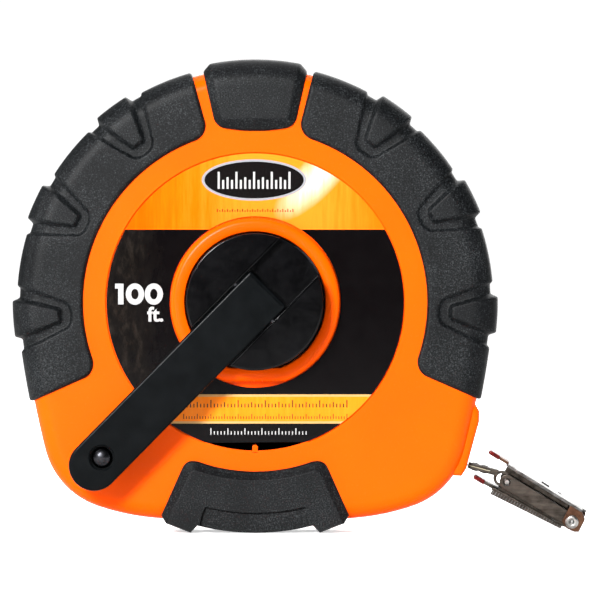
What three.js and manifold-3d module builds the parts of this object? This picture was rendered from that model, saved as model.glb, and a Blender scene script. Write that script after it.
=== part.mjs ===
// Surveyor's closed-case tape reel, 30 m steel blade, folding crank and double-claw end hook.
// Millimetres, +Z up. The drum axis runs along Y, the crank is on the front (-Y) side and
// the blade leaves towards +X. The object stands on Z = 0, right under the drum axis.
import * as THREE from 'three';
import { mergeVertices } from 'three/addons/utils/BufferGeometryUtils.js';
import Module from 'manifold-3d';

const wasm = await Module();
wasm.setup();

// ---------------------------------------------------------------- driving dimensions
const GAP = 0.3;                 // clearance between two pieces that touch on the real object
const DRUM_AXIS_Z = 67.9;        // drum axis above the surface that the reel stands on
const DEG = Math.PI / 180;
const FAR = 200;                 // reaches past the whole object, for cutting solids

// case: the outline is a chain of tangent arcs, mirrored left to right
const CASE_ARCS = [              // radius and turn of each arc, from the top of the case down
  { radius: 69, turn: 96.8 },
  { radius: 274, turn: 7.5 },
  { radius: 23.9, turn: 56.9 },
  { radius: 71, turn: 18.8 },
];
const ARC_STEP = 10;             // degrees of turn per facet of the outline
const ROUND = { large: 48, medium: 24, small: 12 };   // facets round a circle
const CASE_HALF_DEPTH = 12;      // from the middle plane to the label face
const WALL = 2.5;
const RIM_ROUNDING = 5;
const PARTING_Y = 2;             // plane where the two shells meet
const RING_BOSS = { inner: 20.6, outer: 24.9, height: 4 };
const LABEL_RADIUS = 43.7;
const LABEL_THICKNESS = 0.4;
const LABEL_RECESS = LABEL_THICKNESS + GAP;
const SCREW_PLACES = [           // case screws, polar about the drum axis
  { radius: 60, angle: 40 },
  { radius: 60, angle: 140 },
  { radius: 63.5, angle: 216 },
  { radius: 57.6, angle: 270 },
  { radius: 63.5, angle: 322 },
];
const CASE_SCREW = { headRadius: 3.2, headHeight: 2.2, shankRadius: 1.6, sink: 1.2 };
const SCREW_BOSS_RADIUS = 3.9;

// rubber overmould
const RUBBER_INNER_RADIUS = 50.6;
const RUBBER_FIELD = 1.3;        // height of the plain rubber over the case
const LUG_RISE = { radial: 2.6, axial: 2.0 };
const GROOVE_FLOOR = 0.6;
const RIGHT_LUGS = [54, 26, -3];
const LEFT_LUGS = [126.5, 155.5, 184];
const LUG = { outerHalf: 5.8, innerHalf: 2.6, innerRadius: 57, outerRadius: 76 };
const GROOVE_WIDTH = 3;

// crank: arm folded against the front, its hub turned with the drum
const HUB_RADIUS = 20;
const HUB_CORE = { outer: 9.5, inner: 7.4, floorY: -10.6 };   // tube over the spindle's screw
const KNOB = { radius: 6, length: 7.5 };
const ARM = { width: 14.7, thickness: 4.1, tail: 5.6, reach: 66.85, angle: 225.5 };
const KNOB_PLACE = 63.6;         // distance of the knob's axis from the fold axis
const KNOB_CLEARANCE = 0.7;      // between the folded knob and the rubber lugs
const KNOB_BOTTOM_Y = -CASE_HALF_DEPTH - LUG_RISE.axial - KNOB_CLEARANCE;
const ARM_BACK_Y = KNOB_BOTTOM_Y - KNOB.length - GAP;
const ARM_FRONT_Y = ARM_BACK_Y - ARM.thickness;
const ARM_MIDDLE_Y = (ARM_BACK_Y + ARM_FRONT_Y) / 2;
const CRANK_PIN = { radius: 1.5, length: 32 };
const KNOB_RIVET = {
  shankRadius: 1.75, headRadius: 3.1, recessRadius: 3.5, recessDepth: 2.2, footRadius: 2.8,
};
const KNOB_FOOT_RECESS = { radius: 3.4, depth: 1.6 };   // takes the rivet's spread end

// drum and blade
const BLADE_WIDTH = 9.5;
const BLADE_THICKNESS = 0.25;
const CORE_RADIUS = 20;
const COIL_RADIUS = 47.6;
const FLANGE_RADIUS = 52;
const FLANGE_THICKNESS = 1;
const FLANGE_INNER_Y = BLADE_WIDTH / 2 + 0.65;
const FLANGE_OUTER_Y = FLANGE_INNER_Y + FLANGE_THICKNESS;
const CORE_HALF_WIDTH = FLANGE_INNER_Y - GAP;
const HUB_BACK_Y = -FLANGE_OUTER_Y - GAP;
const SPINDLE_RADIUS = 3;
const SPINDLE_HEAD = 7;          // square head of the spindle, held in the rear shell
const SPINDLE_REAR_Y = 10.4;
const SPINDLE_FRONT_Y = -7.4;
const SPINDLE_SCREW = { radius: 1.2, headRadius: 4.6, length: 8 };
const SPINDLE_BOSS_RADIUS = 7.5;
const BUSH_RADIUS = 4.7;
const HUB_SCREW = { circle: 13, radius: 1.5, hole: 1.9, headRadius: 3, sinkRadius: 3.4, sink: 2.8 };
const HUB_SCREW_DEPTH = 6;       // how far the hub screws reach into the hub
const ANCHOR_PIN = { radius: 1, place: 17.6 };
const FLANGE_WINDOW = { circle: 36, radius: 7 };
const TAIL_TOP_Z = -COIL_RADIUS - GAP;
const TAIL_Z = TAIL_TOP_Z - BLADE_THICKNESS / 2;

// mouth and end hook
const MOUTH_X = 62.2;            // where the blade leaves the case
const CLIP_DROOP = 15;           // how far the blade's end clip hangs below level, degrees
const HOOK_DROOP = 31;
const HOOK_ROLL = 8.5;           // the hook lies slightly rolled about its own length
const HOOK_PIN_PLACE = { x: 13.3, z: -1.3 };   // from the mouth, in the clip's own frame
const HOOK_PIN_RADIUS = 0.8;
const EYELET_U = 22.4;           // eyelet from the hook pin, along the hook
const SHEET = 0.8;               // sheet steel of the hook

// ---------------------------------------------------------------- materials
const MATERIALS = {
  orangePlastic: { color: 0xff7a00, roughness: 0.45, metalness: 0 },
  rubber: { color: 0x32373a, roughness: 0.85, metalness: 0 },
  blackPlastic: { color: 0x17181a, roughness: 0.35, metalness: 0 },
  armPlastic: { color: 0x1e2224, roughness: 0.5, metalness: 0 },
  label: { color: 0x151414, roughness: 0.3, metalness: 0 },
  steel: { color: 0xb9b6ae, roughness: 0.35, metalness: 1 },
  hookSteel: { color: 0x8b867c, roughness: 0.4, metalness: 1 },
  bladeSteel: { color: 0xe3e0d2, roughness: 0.4, metalness: 0.6 },
  bronze: { color: 0x9a7040, roughness: 0.45, metalness: 1 },
  drumPlastic: { color: 0x2b2b2d, roughness: 0.6, metalness: 0 },
  redDip: { color: 0x7d1512, roughness: 0.4, metalness: 0 },
};

function material(name) {
  return new THREE.MeshStandardMaterial(MATERIALS[name]);
}

// ---------------------------------------------------------------- solids
function signedVolume(vertices, triangles) {
  let volume = 0;
  const [a, b, c] = [new THREE.Vector3(), new THREE.Vector3(), new THREE.Vector3()];
  for (let i = 0; i < triangles.length; i += 3) {
    a.fromArray(vertices, triangles[i] * 3);
    b.fromArray(vertices, triangles[i + 1] * 3);
    c.fromArray(vertices, triangles[i + 2] * 3);
    volume += a.dot(b.cross(c)) / 6;
  }
  return volume;
}

function solidFrom(geometry) {
  const bare = new THREE.BufferGeometry();
  bare.setAttribute('position', geometry.getAttribute('position'));
  bare.setIndex(geometry.getIndex());
  const merged = mergeVertices(bare, 1e-4);
  const index = merged.getIndex().array;
  const triangles = [];
  for (let i = 0; i < index.length; i += 3) {
    const [a, b, c] = [index[i], index[i + 1], index[i + 2]];
    if (a !== b && b !== c && c !== a) triangles.push(a, b, c);
  }
  const vertices = new Float32Array(merged.getAttribute('position').array);
  if (signedVolume(vertices, triangles) < 0) triangles.reverse();
  return new wasm.Manifold(new wasm.Mesh({
    numProp: 3,
    vertProperties: vertices,
    triVerts: new Uint32Array(triangles),
  }));
}

function meshFrom(solid, name, materialName) {
  const { vertProperties, triVerts } = solid.getMesh();
  const geometry = new THREE.BufferGeometry();
  geometry.setAttribute('position', new THREE.BufferAttribute(vertProperties, 3));
  geometry.setIndex(new THREE.BufferAttribute(triVerts, 1));
  geometry.computeVertexNormals();
  const mesh = new THREE.Mesh(geometry, material(materialName));
  mesh.name = name;
  return mesh;
}

function joined(solids) {
  return solids.reduce((whole, solid) => whole.add(solid));
}

function cut(solid, tools) {
  return tools.reduce((whole, tool) => whole.subtract(tool), solid);
}

// A flat outline in the XZ plane, as thick as from frontY to backY. The bevel rounds both
// faces' edges inside the outline.
function prism(points, frontY, backY, bevel = 0, bevelSegments = 1) {
  const shape = new THREE.Shape(points);
  const geometry = new THREE.ExtrudeGeometry(shape, {
    depth: backY - frontY - 2 * bevel,
    bevelEnabled: bevel > 0,
    bevelThickness: bevel,
    bevelSize: bevel,
    bevelOffset: -bevel,
    bevelSegments,
  });
  geometry.rotateX(Math.PI / 2);
  geometry.translate(0, backY - bevel, 0);
  return solidFrom(geometry);
}

// A body of revolution about the Y axis. The profile is a list of [radius, y].
function turned(profile, segments = ROUND.large) {
  const closed = profile[0][0] > 0 ? [...profile, profile[0]] : profile;
  const points = closed.map(([radius, y]) => new THREE.Vector2(radius, y));
  return solidFrom(new THREE.LatheGeometry(points, segments));
}

function disc(radius, frontY, backY, x = 0, z = 0, segments = ROUND.small) {
  const profile = [[0, frontY], [radius, frontY], [radius, backY], [0, backY]];
  return turned(profile, segments).translate([x, 0, z]);
}

function ring(inner, outer, frontY, backY, segments = ROUND.large) {
  return turned([[inner, frontY], [outer, frontY], [outer, backY], [inner, backY]], segments);
}

function block(x0, x1, y0, y1, z0, z1) {
  const geometry = new THREE.BoxGeometry(x1 - x0, y1 - y0, z1 - z0);
  geometry.translate((x0 + x1) / 2, (y0 + y1) / 2, (z0 + z1) / 2);
  return solidFrom(geometry);
}

// ---------------------------------------------------------------- outlines
function polar(radius, angle) {
  return new THREE.Vector2(radius * Math.cos(angle * DEG), radius * Math.sin(angle * DEG));
}

function arcPoints(radius, from, to, segments) {
  return Array.from({ length: segments + 1 }, (_, i) => (
    polar(radius, from + ((to - from) * i) / segments)
  ));
}

// Rounds every corner of a closed outline with a short arc.
function rounded(corners, radius, segments = 3) {
  const points = [];
  corners.forEach((corner, i) => {
    const before = corners[(i + corners.length - 1) % corners.length];
    const after = corners[(i + 1) % corners.length];
    const start = corner.clone().add(before.clone().sub(corner).setLength(radius));
    const end = corner.clone().add(after.clone().sub(corner).setLength(radius));
    const curve = new THREE.QuadraticBezierCurve(start, corner, end);
    points.push(...curve.getPoints(segments));
  });
  return points;
}

function outline(pairs) {
  return pairs.map(([x, z]) => new THREE.Vector2(x, z));
}

// The case outline, grown outwards by a distance: every arc keeps its centre.
function caseOutline(grow) {
  const half = [];
  const place = new THREE.Vector2(0, CASE_ARCS[0].radius + grow);
  let heading = 180;
  half.push(place.clone());
  for (const { radius, turn } of CASE_ARCS) {
    const steps = Math.max(1, Math.round(turn / ARC_STEP));
    const step = turn / steps;
    const chord = 2 * (radius + grow) * Math.sin((step / 2) * DEG);
    for (let i = 0; i < steps; i += 1) {
      place.add(polar(chord, heading + step / 2));
      heading += step;
      half.push(place.clone());
    }
  }
  const mirrored = half.slice(1).reverse().map((point) => new THREE.Vector2(-point.x, point.y));
  return [...half, ...mirrored];
}

// The case's solid envelope, grown over the rim by `radial` and over both faces by `axial`.
function caseEnvelope(radial, axial) {
  const reach = CASE_HALF_DEPTH + axial;
  return prism(caseOutline(radial), -reach, reach, RIM_ROUNDING, 3);
}

const frontHalf = (solid) => solid.intersect(
  block(-FAR, FAR, -FAR, PARTING_Y - GAP / 2, -FAR, FAR),
);
const rearHalf = (solid) => solid.intersect(
  block(-FAR, FAR, PARTING_Y + GAP / 2, FAR, -FAR, FAR),
);

// ---------------------------------------------------------------- case shells
const NOSE = outline([[52, -30], [63.6, -27], [66.2, -32.4], [66, -35.2], [62.9, -46.6],
  [62.3, -48.9], [60.8, -51.4], [59.2, -51], [52, -51]]);
const NOSE_HALF_WIDTH = 9;
const GUIDE = { x0: 54.5, x1: 61, z0: -52.6, z1: -45, halfWidth: 6.8 };
const MOUTH_SLOT = { halfWidth: 5.8, z0: -50.6, z1: -46.4 };

function screwBosses(frontY, backY) {
  return SCREW_PLACES.map(({ radius, angle }) => {
    const { x, y: z } = polar(radius, angle);
    return disc(SCREW_BOSS_RADIUS, frontY, backY, x, z);
  });
}

function screwHoles(holeRadius, frontY, backY) {
  return SCREW_PLACES.map(({ radius, angle }) => {
    const { x, y: z } = polar(radius, angle);
    return disc(holeRadius + GAP, frontY, backY, x, z);
  });
}

function guidePocket() {
  const { x0, x1, z0, z1, halfWidth } = GUIDE;
  const reach = halfWidth + GAP;
  return block(x0 - GAP, x1 + GAP, -reach, reach, z0 - GAP, z1 + GAP);
}

function mouthSlot() {
  const { halfWidth, z0, z1 } = MOUTH_SLOT;
  return block(GUIDE.x0 - 5, FAR, -halfWidth, halfWidth, z0, z1);
}

// Both shells as one hollow body, before the parting cut.
function hollowCase() {
  const cavityDepth = CASE_HALF_DEPTH - WALL;
  const nose = prism(NOSE, -NOSE_HALF_WIDTH, NOSE_HALF_WIDTH, 1.2, 2);
  const body = caseEnvelope(0, 0).add(nose);
  const cavity = prism(caseOutline(-WALL), -cavityDepth, cavityDepth, RIM_ROUNDING - 1, 2);
  const pads = block(GUIDE.x0 - 2, GUIDE.x1, -NOSE_HALF_WIDTH, NOSE_HALF_WIDTH,
    GUIDE.z0 - 2, GUIDE.z1 + 2).intersect(body);
  return cut(cut(body, [cavity]).add(pads), [guidePocket(), mouthSlot()]);
}

function frontShell() {
  const face = -CASE_HALF_DEPTH;
  const recess = face + LABEL_RECESS;
  const { inner, outer, height } = RING_BOSS;
  const top = face - height;
  const boss = turned([
    [inner, face + WALL], [inner, top + 0.8], [inner + 0.8, top], [outer - 1.6, top],
    [outer - 0.5, top + 0.5], [outer, top + 1.6], [outer, face + WALL],
  ]);
  const label = ring(outer, LABEL_RADIUS + GAP, face - 1, recess);
  const opening = disc(inner, -FAR, -CASE_HALF_DEPTH + WALL + 1, 0, 0, ROUND.large);
  const pillars = screwBosses(face + WALL - 1, PARTING_Y);
  const body = frontHalf(joined([hollowCase(), ...pillars]));
  const holes = screwHoles(CASE_SCREW.shankRadius, face + WALL, FAR);
  return cut(cut(body, [opening, label]).add(boss), holes);
}

function rearShell() {
  const face = CASE_HALF_DEPTH;
  const recess = face - LABEL_RECESS;
  const inside = face - WALL;
  const label = disc(LABEL_RADIUS + GAP, recess, FAR, 0, 0, ROUND.large);
  const spindleBoss = disc(SPINDLE_BOSS_RADIUS, FLANGE_OUTER_Y + 0.5, inside + 1, 0, 0, ROUND.medium);
  const socketHalf = SPINDLE_HEAD / 2 + GAP;
  const socket = block(-socketHalf, socketHalf, 0, SPINDLE_REAR_Y + GAP, -socketHalf, socketHalf);
  const pillars = screwBosses(PARTING_Y, face - WALL + 1);
  const body = rearHalf(joined([hollowCase(), ...pillars, spindleBoss]));
  const holes = screwHoles(CASE_SCREW.shankRadius, -FAR, FAR);
  const sinks = screwHoles(CASE_SCREW.headRadius, screwHeadY() - GAP, FAR);
  return cut(body, [label, socket, ...holes, ...sinks]);
}

// Inner side of the screw heads, sunk into the rear shell.
function screwHeadY() {
  return CASE_HALF_DEPTH - CASE_SCREW.sink - CASE_SCREW.headHeight;
}

function caseScrew({ radius, angle }) {
  const { x, y: z } = polar(radius, angle);
  const { headRadius, headHeight, shankRadius } = CASE_SCREW;
  const seat = screwHeadY();
  const tip = -CASE_HALF_DEPTH + WALL + 1;
  const body = turned([
    [0, tip], [shankRadius * 0.6, tip], [shankRadius, tip + 1.2], [shankRadius, seat],
    [headRadius, seat], [headRadius, seat + 1.2], [headRadius * 0.7, seat + headHeight],
    [0, seat + headHeight],
  ], ROUND.small);
  const slotHalf = 0.45;
  const slotReach = headRadius * 0.6;
  const slotFloor = seat + headHeight - 1.1;
  const slots = [
    block(-slotReach, slotReach, slotFloor, FAR, -slotHalf, slotHalf),
    block(-slotHalf, slotHalf, slotFloor, FAR, -slotReach, slotReach),
  ];
  return cut(body, slots).translate([x, 0, z]);
}

// ---------------------------------------------------------------- rubber overmould
// A lug's outline about the direction `angle`, grown sideways and inwards.
function lugOutline(angle, grow) {
  const inner = LUG.innerRadius - grow;
  const across = polar(1, angle + 90);
  const along = polar(1, angle);
  const at = (radius, side) => along.clone().multiplyScalar(radius).addScaledVector(across, side);
  const corners = [
    at(LUG.outerRadius, -LUG.outerHalf - grow), at(LUG.outerRadius, LUG.outerHalf + grow),
    at(inner, LUG.innerHalf + grow), at(inner, -LUG.innerHalf - grow),
  ];
  return rounded(corners, 2 + grow);
}

function armoured(field, lugAngles) {
  const backing = caseEnvelope(GAP, GAP);
  const lugSkin = caseEnvelope(LUG_RISE.radial, LUG_RISE.axial);
  const grooveFloor = caseEnvelope(GROOVE_FLOOR, GROOVE_FLOOR);
  const lugs = lugAngles.map((angle) => (
    lugSkin.intersect(prism(lugOutline(angle, 0), -FAR, FAR))
  ));
  const grooves = lugAngles.map((angle) => (
    prism(lugOutline(angle, GROOVE_WIDTH), -FAR, FAR).subtract(grooveFloor)
  ));
  return joined([cut(field, grooves), ...lugs]).subtract(backing);
}

function screwWells() {
  return screwHoles(CASE_SCREW.headRadius + 0.6, PARTING_Y + 3, FAR);
}

// One of the two long rubber arcs: its inner edge is round and its ends are straight cuts.
function grip(outerStart, outerEnd, innerStart, innerEnd, lugAngles) {
  const reach = 95;
  const corners = [
    ...arcPoints(reach, outerStart, outerEnd, 10),
    ...arcPoints(RUBBER_INNER_RADIUS, innerEnd, innerStart, 20),
  ];
  const skin = caseEnvelope(RUBBER_FIELD, RUBBER_FIELD);
  return armoured(skin.intersect(prism(corners, -FAR, FAR)), lugAngles);
}

const TOP_LUG_HALF = { rim: 15, foot: 11.6 };
const TOP_LUG_FOOT_Z = 50.4;

function topLug() {
  const { rim, foot } = TOP_LUG_HALF;
  const sides = (grow, footZ) => rounded(outline([
    [-rim - 2 - grow, 90], [-foot - grow, footZ], [foot + grow, footZ], [rim + 2 + grow, 90],
  ]), 4);
  const skirt = caseEnvelope(RUBBER_FIELD, RUBBER_FIELD)
    .intersect(prism(sides(0, TOP_LUG_FOOT_Z), -FAR, FAR));
  const crown = caseEnvelope(LUG_RISE.radial, LUG_RISE.axial)
    .intersect(prism(sides(-1.6, TOP_LUG_FOOT_Z + 3), -FAR, FAR));
  return skirt.add(crown).subtract(caseEnvelope(GAP, GAP));
}

// The pad under the case: two feet, a curved middle and a scooped top edge.
function basePad() {
  const reach = CASE_HALF_DEPTH + LUG_RISE.axial;
  const middle = arcPoints(DRUM_AXIS_Z, 256, 266, 4);
  const left = [
    new THREE.Vector2(-27.6, -62.6), new THREE.Vector2(-25.8, -65.4),
    new THREE.Vector2(-19.6, -DRUM_AXIS_Z), new THREE.Vector2(-17.6, -DRUM_AXIS_Z),
    ...middle,
    new THREE.Vector2(-3, -DRUM_AXIS_Z),
  ];
  const right = left.map((point) => new THREE.Vector2(-point.x, point.y)).reverse();
  const scoop = arcPoints(RUBBER_INNER_RADIUS - 0.9, 290.5, 249.5, 10);
  const body = prism(
    [...left, ...right, new THREE.Vector2(21.4, -48.8), ...scoop, new THREE.Vector2(-21.4, -48.8)],
    -reach,
    reach,
    1.2,
  );
  const recess = rounded(outline([[-15.5, -70], [-15.5, -61.4], [15.5, -61.4], [15.5, -70]]), 2);
  const skin = caseEnvelope(RUBBER_FIELD, RUBBER_FIELD - 0.4).add(
    block(-FAR, FAR, -reach + 1.6, reach - 1.6, -FAR, FAR),
  );
  return body.subtract(prism(recess, -FAR, FAR).subtract(skin)).subtract(caseEnvelope(GAP, GAP));
}

function addRubber(group) {
  const pieces = {
    left_grip: grip(105.5, 204.2, 107.6, 202.1, LEFT_LUGS),
    right_grip: grip(-23.6, 75.8, -21.5, 73.7, RIGHT_LUGS),
    top_lug: topLug(),
    base_pad: basePad(),
  };
  for (const [name, solid] of Object.entries(pieces)) {
    group.add(meshFrom(frontHalf(solid), `front_${name}`, 'rubber'));
    group.add(meshFrom(cut(rearHalf(solid), screwWells()), `rear_${name}`, 'rubber'));
  }
}

// ---------------------------------------------------------------- labels
function addLabels(group) {
  const face = -CASE_HALF_DEPTH;
  const front = ring(RING_BOSS.outer + GAP, LABEL_RADIUS, face, face + LABEL_THICKNESS);
  const back = CASE_HALF_DEPTH;
  const rear = disc(LABEL_RADIUS, back - LABEL_THICKNESS, back, 0, 0, ROUND.large);
  group.add(meshFrom(front, 'front_label', 'label'));
  group.add(meshFrom(rear, 'rear_label', 'label'));
}

// ---------------------------------------------------------------- spindle and drum
function spindle() {
  const shaft = disc(SPINDLE_RADIUS, SPINDLE_FRONT_Y, SPINDLE_REAR_Y - 1, 0, 0, ROUND.medium);
  const half = SPINDLE_HEAD / 2;
  const head = block(-half, half, FLANGE_OUTER_Y + 0.8, SPINDLE_REAR_Y, -half, half);
  const bore = disc(SPINDLE_SCREW.radius + GAP, -FAR, SPINDLE_FRONT_Y + SPINDLE_SCREW.length + 1);
  return shaft.add(head).subtract(bore);
}

function spindleScrew() {
  const seat = SPINDLE_FRONT_Y - GAP;
  const { radius, headRadius, length } = SPINDLE_SCREW;
  const tip = SPINDLE_FRONT_Y + length;
  return turned([
    [0, seat - 2.2], [headRadius - 2, seat - 2.2], [headRadius, seat - 1.2], [headRadius, seat],
    [radius, seat], [radius, tip], [0, tip],
  ], ROUND.medium);
}

function bush(side) {
  const flange = CORE_HALF_WIDTH + GAP;
  const profile = [
    [SPINDLE_RADIUS + GAP, GAP], [BUSH_RADIUS, GAP], [BUSH_RADIUS, flange],
    [6.5, flange], [6.5, flange + 0.6], [SPINDLE_RADIUS + GAP, flange + 0.6],
  ];
  return turned(profile.map(([radius, y]) => [radius, y * side]), ROUND.medium);
}

function hubScrewPlaces() {
  return [90, 210, 330].map((angle) => polar(HUB_SCREW.circle, angle));
}

function drumCore() {
  const half = CORE_HALF_WIDTH;
  const body = turned([
    [BUSH_RADIUS + GAP, -half], [CORE_RADIUS, -half], [CORE_RADIUS, half], [BUSH_RADIUS + GAP, half],
  ]);
  const holes = hubScrewPlaces().flatMap(({ x, y: z }) => [
    disc(HUB_SCREW.hole, -FAR, FAR, x, z),
    disc(HUB_SCREW.sinkRadius, half - HUB_SCREW.sink, FAR, x, z),
  ]);
  const anchor = disc(ANCHOR_PIN.radius + GAP, -FAR, FAR, 0, -ANCHOR_PIN.place);
  return cut(body, [...holes, anchor]);
}

function flange(side) {
  const y0 = side * FLANGE_INNER_Y;
  const y1 = side * FLANGE_OUTER_Y;
  const plate = ring(7.2, FLANGE_RADIUS, Math.min(y0, y1), Math.max(y0, y1));
  const holes = hubScrewPlaces().map(({ x, y: z }) => disc(HUB_SCREW.sinkRadius, -FAR, FAR, x, z));
  const windows = [30, 150, 270].map((angle) => {
    const { x, y: z } = polar(FLANGE_WINDOW.circle, angle);
    return disc(FLANGE_WINDOW.radius, -FAR, FAR, x, z);
  });
  return cut(plate, [...holes, ...windows]);
}

function hubScrew({ x, y: z }) {
  const { radius, headRadius, sink } = HUB_SCREW;
  const seat = CORE_HALF_WIDTH - sink + GAP;
  const tip = HUB_BACK_Y - HUB_SCREW_DEPTH;
  const body = turned([
    [0, tip], [radius - 0.5, tip], [radius, tip + 1], [radius, seat], [headRadius, seat],
    [headRadius, seat + 1.4], [headRadius - 0.8, seat + 2.2], [0, seat + 2.2],
  ], ROUND.small);
  return body.translate([x, 0, z]);
}

function addDrum(group) {
  group.add(meshFrom(spindle(), 'spindle', 'steel'));
  group.add(meshFrom(spindleScrew(), 'spindle_screw', 'steel'));
  const washerBack = -FLANGE_OUTER_Y + 0.1;
  const washer = ring(SPINDLE_RADIUS + GAP, 6.4, washerBack - 0.8, washerBack, ROUND.medium);
  group.add(meshFrom(washer, 'spindle_washer', 'steel'));
  group.add(meshFrom(bush(-1), 'front_bush', 'bronze'));
  group.add(meshFrom(bush(1), 'rear_bush', 'bronze'));
  group.add(meshFrom(drumCore(), 'drum_core', 'drumPlastic'));
  group.add(meshFrom(flange(-1), 'front_flange', 'drumPlastic'));
  group.add(meshFrom(flange(1), 'rear_flange', 'drumPlastic'));
  const pinHalf = CORE_HALF_WIDTH - 0.2;
  const pin = disc(ANCHOR_PIN.radius, -pinHalf, pinHalf, 0, -ANCHOR_PIN.place);
  group.add(meshFrom(pin, 'blade_anchor_pin', 'steel'));
  hubScrewPlaces().forEach((at, i) => {
    group.add(meshFrom(hubScrew(at), `hub_screw_${i + 1}`, 'steel'));
  });
}

// ---------------------------------------------------------------- crank
// Along-arm frame: local +X runs from the fold axis to the knob, local Z across the arm.
function alongArm(mesh) {
  mesh.rotation.y = -ARM.angle * DEG;
  return mesh;
}

function crankHub() {
  const top = ARM_FRONT_Y + 0.2;
  const cavityTop = HUB_BACK_Y - 8;
  const { outer, inner, floorY } = HUB_CORE;
  const body = turned([
    [0, top], [HUB_RADIUS - 0.9, top], [HUB_RADIUS, top + 0.9], [HUB_RADIUS, HUB_BACK_Y],
    [HUB_RADIUS - WALL, HUB_BACK_Y], [HUB_RADIUS - WALL, cavityTop],
    [outer, cavityTop], [outer, HUB_BACK_Y], [inner, HUB_BACK_Y], [inner, floorY], [0, floorY],
  ]);
  const bosses = hubScrewPlaces().map(({ x, y: z }) => (
    disc(3.6, cavityTop - 1, HUB_BACK_Y, x, z)
  ));
  const holes = hubScrewPlaces().map(({ x, y: z }) => (
    disc(HUB_SCREW.radius + GAP, HUB_BACK_Y - HUB_SCREW_DEPTH - GAP, FAR, x, z)
  ));
  const slotHalf = ARM.width / 2 + GAP + 0.1;
  const swing = Math.hypot(ARM.tail, ARM.thickness / 2) + GAP;
  const slot = joined([
    block(-FAR, FAR, -FAR, ARM_BACK_Y + GAP, -slotHalf, slotHalf),
    block(-swing, swing, -FAR, ARM_MIDDLE_Y + swing, -slotHalf, slotHalf),
    alongZ(disc(CRANK_PIN.radius + GAP, -CRANK_PIN.length / 2 - GAP, CRANK_PIN.length / 2 + GAP))
      .translate([0, ARM_MIDDLE_Y, 0]),
  ]).rotate([0, -ARM.angle, 0]);
  return cut(joined([body, ...bosses]), [...holes, slot]);
}

// Turns a solid of revolution about Y so that its axis lies along Z.
function alongZ(solid) {
  return solid.rotate([90, 0, 0]);
}

function crankArm() {
  const half = ARM.width / 2;
  const end = arcPoints(half, -90, 90, 14).map((point) => (
    new THREE.Vector2(point.x + ARM.reach, point.y)
  ));
  const body = prism(
    [...end, new THREE.Vector2(-ARM.tail, half), new THREE.Vector2(-ARM.tail, -half)],
    ARM_FRONT_Y,
    ARM_BACK_Y,
    0.6,
  );
  const { shankRadius, recessRadius, recessDepth } = KNOB_RIVET;
  const recess = disc(recessRadius, -FAR, ARM_FRONT_Y + recessDepth, KNOB_PLACE, 0, ROUND.medium);
  const rivetHole = disc(shankRadius + GAP, -FAR, FAR, KNOB_PLACE);
  const pinHole = alongZ(disc(CRANK_PIN.radius + GAP, -FAR, FAR))
    .translate([0, ARM_MIDDLE_Y, 0]);
  return cut(body, [recess, rivetHole, pinHole]);
}

function knob() {
  const { radius, length } = KNOB;
  const top = KNOB_BOTTOM_Y - length;
  const bore = KNOB_RIVET.shankRadius + GAP;
  const body = turned([
    [bore, top], [radius - 1, top], [radius - 0.4, top + 0.8], [radius - 0.9, top + 3],
    [radius, KNOB_BOTTOM_Y - 2], [radius - 0.6, KNOB_BOTTOM_Y - 0.6], [radius - 1.6, KNOB_BOTTOM_Y],
    [KNOB_FOOT_RECESS.radius, KNOB_BOTTOM_Y],
    [KNOB_FOOT_RECESS.radius, KNOB_BOTTOM_Y - KNOB_FOOT_RECESS.depth],
    [bore, KNOB_BOTTOM_Y - KNOB_FOOT_RECESS.depth],
  ], ROUND.medium);
  return body.translate([KNOB_PLACE, 0, 0]);
}

// Shank through arm and knob, domed head in the arm's recess, spread end in the knob's.
function knobRivet() {
  const { shankRadius, headRadius, recessDepth, footRadius } = KNOB_RIVET;
  const seat = ARM_FRONT_Y + recessDepth - GAP;
  const foot = KNOB_BOTTOM_Y - KNOB_FOOT_RECESS.depth + GAP;
  const body = turned([
    [0, seat - 1.7], [headRadius * 0.55, seat - 1.45], [headRadius * 0.85, seat - 0.9],
    [headRadius, seat], [shankRadius, seat], [shankRadius, foot], [footRadius, foot],
    [footRadius, foot + 0.8], [0, foot + 0.8],
  ], ROUND.medium);
  return body.translate([KNOB_PLACE, 0, 0]);
}

function addCrank(group) {
  group.add(meshFrom(crankHub(), 'crank_hub', 'blackPlastic'));
  const pin = alongZ(disc(CRANK_PIN.radius, -CRANK_PIN.length / 2, CRANK_PIN.length / 2));
  const pinMesh = meshFrom(pin, 'crank_pin', 'steel');
  pinMesh.position.y = ARM_MIDDLE_Y;
  group.add(alongArm(pinMesh));
  group.add(alongArm(meshFrom(crankArm(), 'crank_arm', 'armPlastic')));
  group.add(alongArm(meshFrom(knob(), 'crank_knob', 'armPlastic')));
  group.add(alongArm(meshFrom(knobRivet(), 'knob_rivet', 'steel')));
}

// ---------------------------------------------------------------- blade and mouth
function addBlade(group) {
  const half = BLADE_WIDTH / 2;
  const coil = ring(CORE_RADIUS + GAP, COIL_RADIUS, -half, half);
  group.add(meshFrom(coil, 'blade_coil', 'bladeSteel'));
  const top = TAIL_TOP_Z;
  const end = polar(CLIP_LEAF_LENGTH, -CLIP_DROOP);
  const tail = prism(outline([
    [2, top], [2, top - BLADE_THICKNESS], [MOUTH_X, top - BLADE_THICKNESS],
    [MOUTH_X + end.x, top - BLADE_THICKNESS + end.y], [MOUTH_X + end.x, top + end.y],
    [MOUTH_X, top],
  ]), -half, half);
  const holes = CLIP_RIVET_PLACES.map((x) => (
    rivetHole(x).rotate([0, CLIP_DROOP, 0]).translate([MOUTH_X, 0, TAIL_Z])
  ));
  group.add(meshFrom(cut(tail, holes), 'blade_tail', 'bladeSteel'));
}

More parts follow.
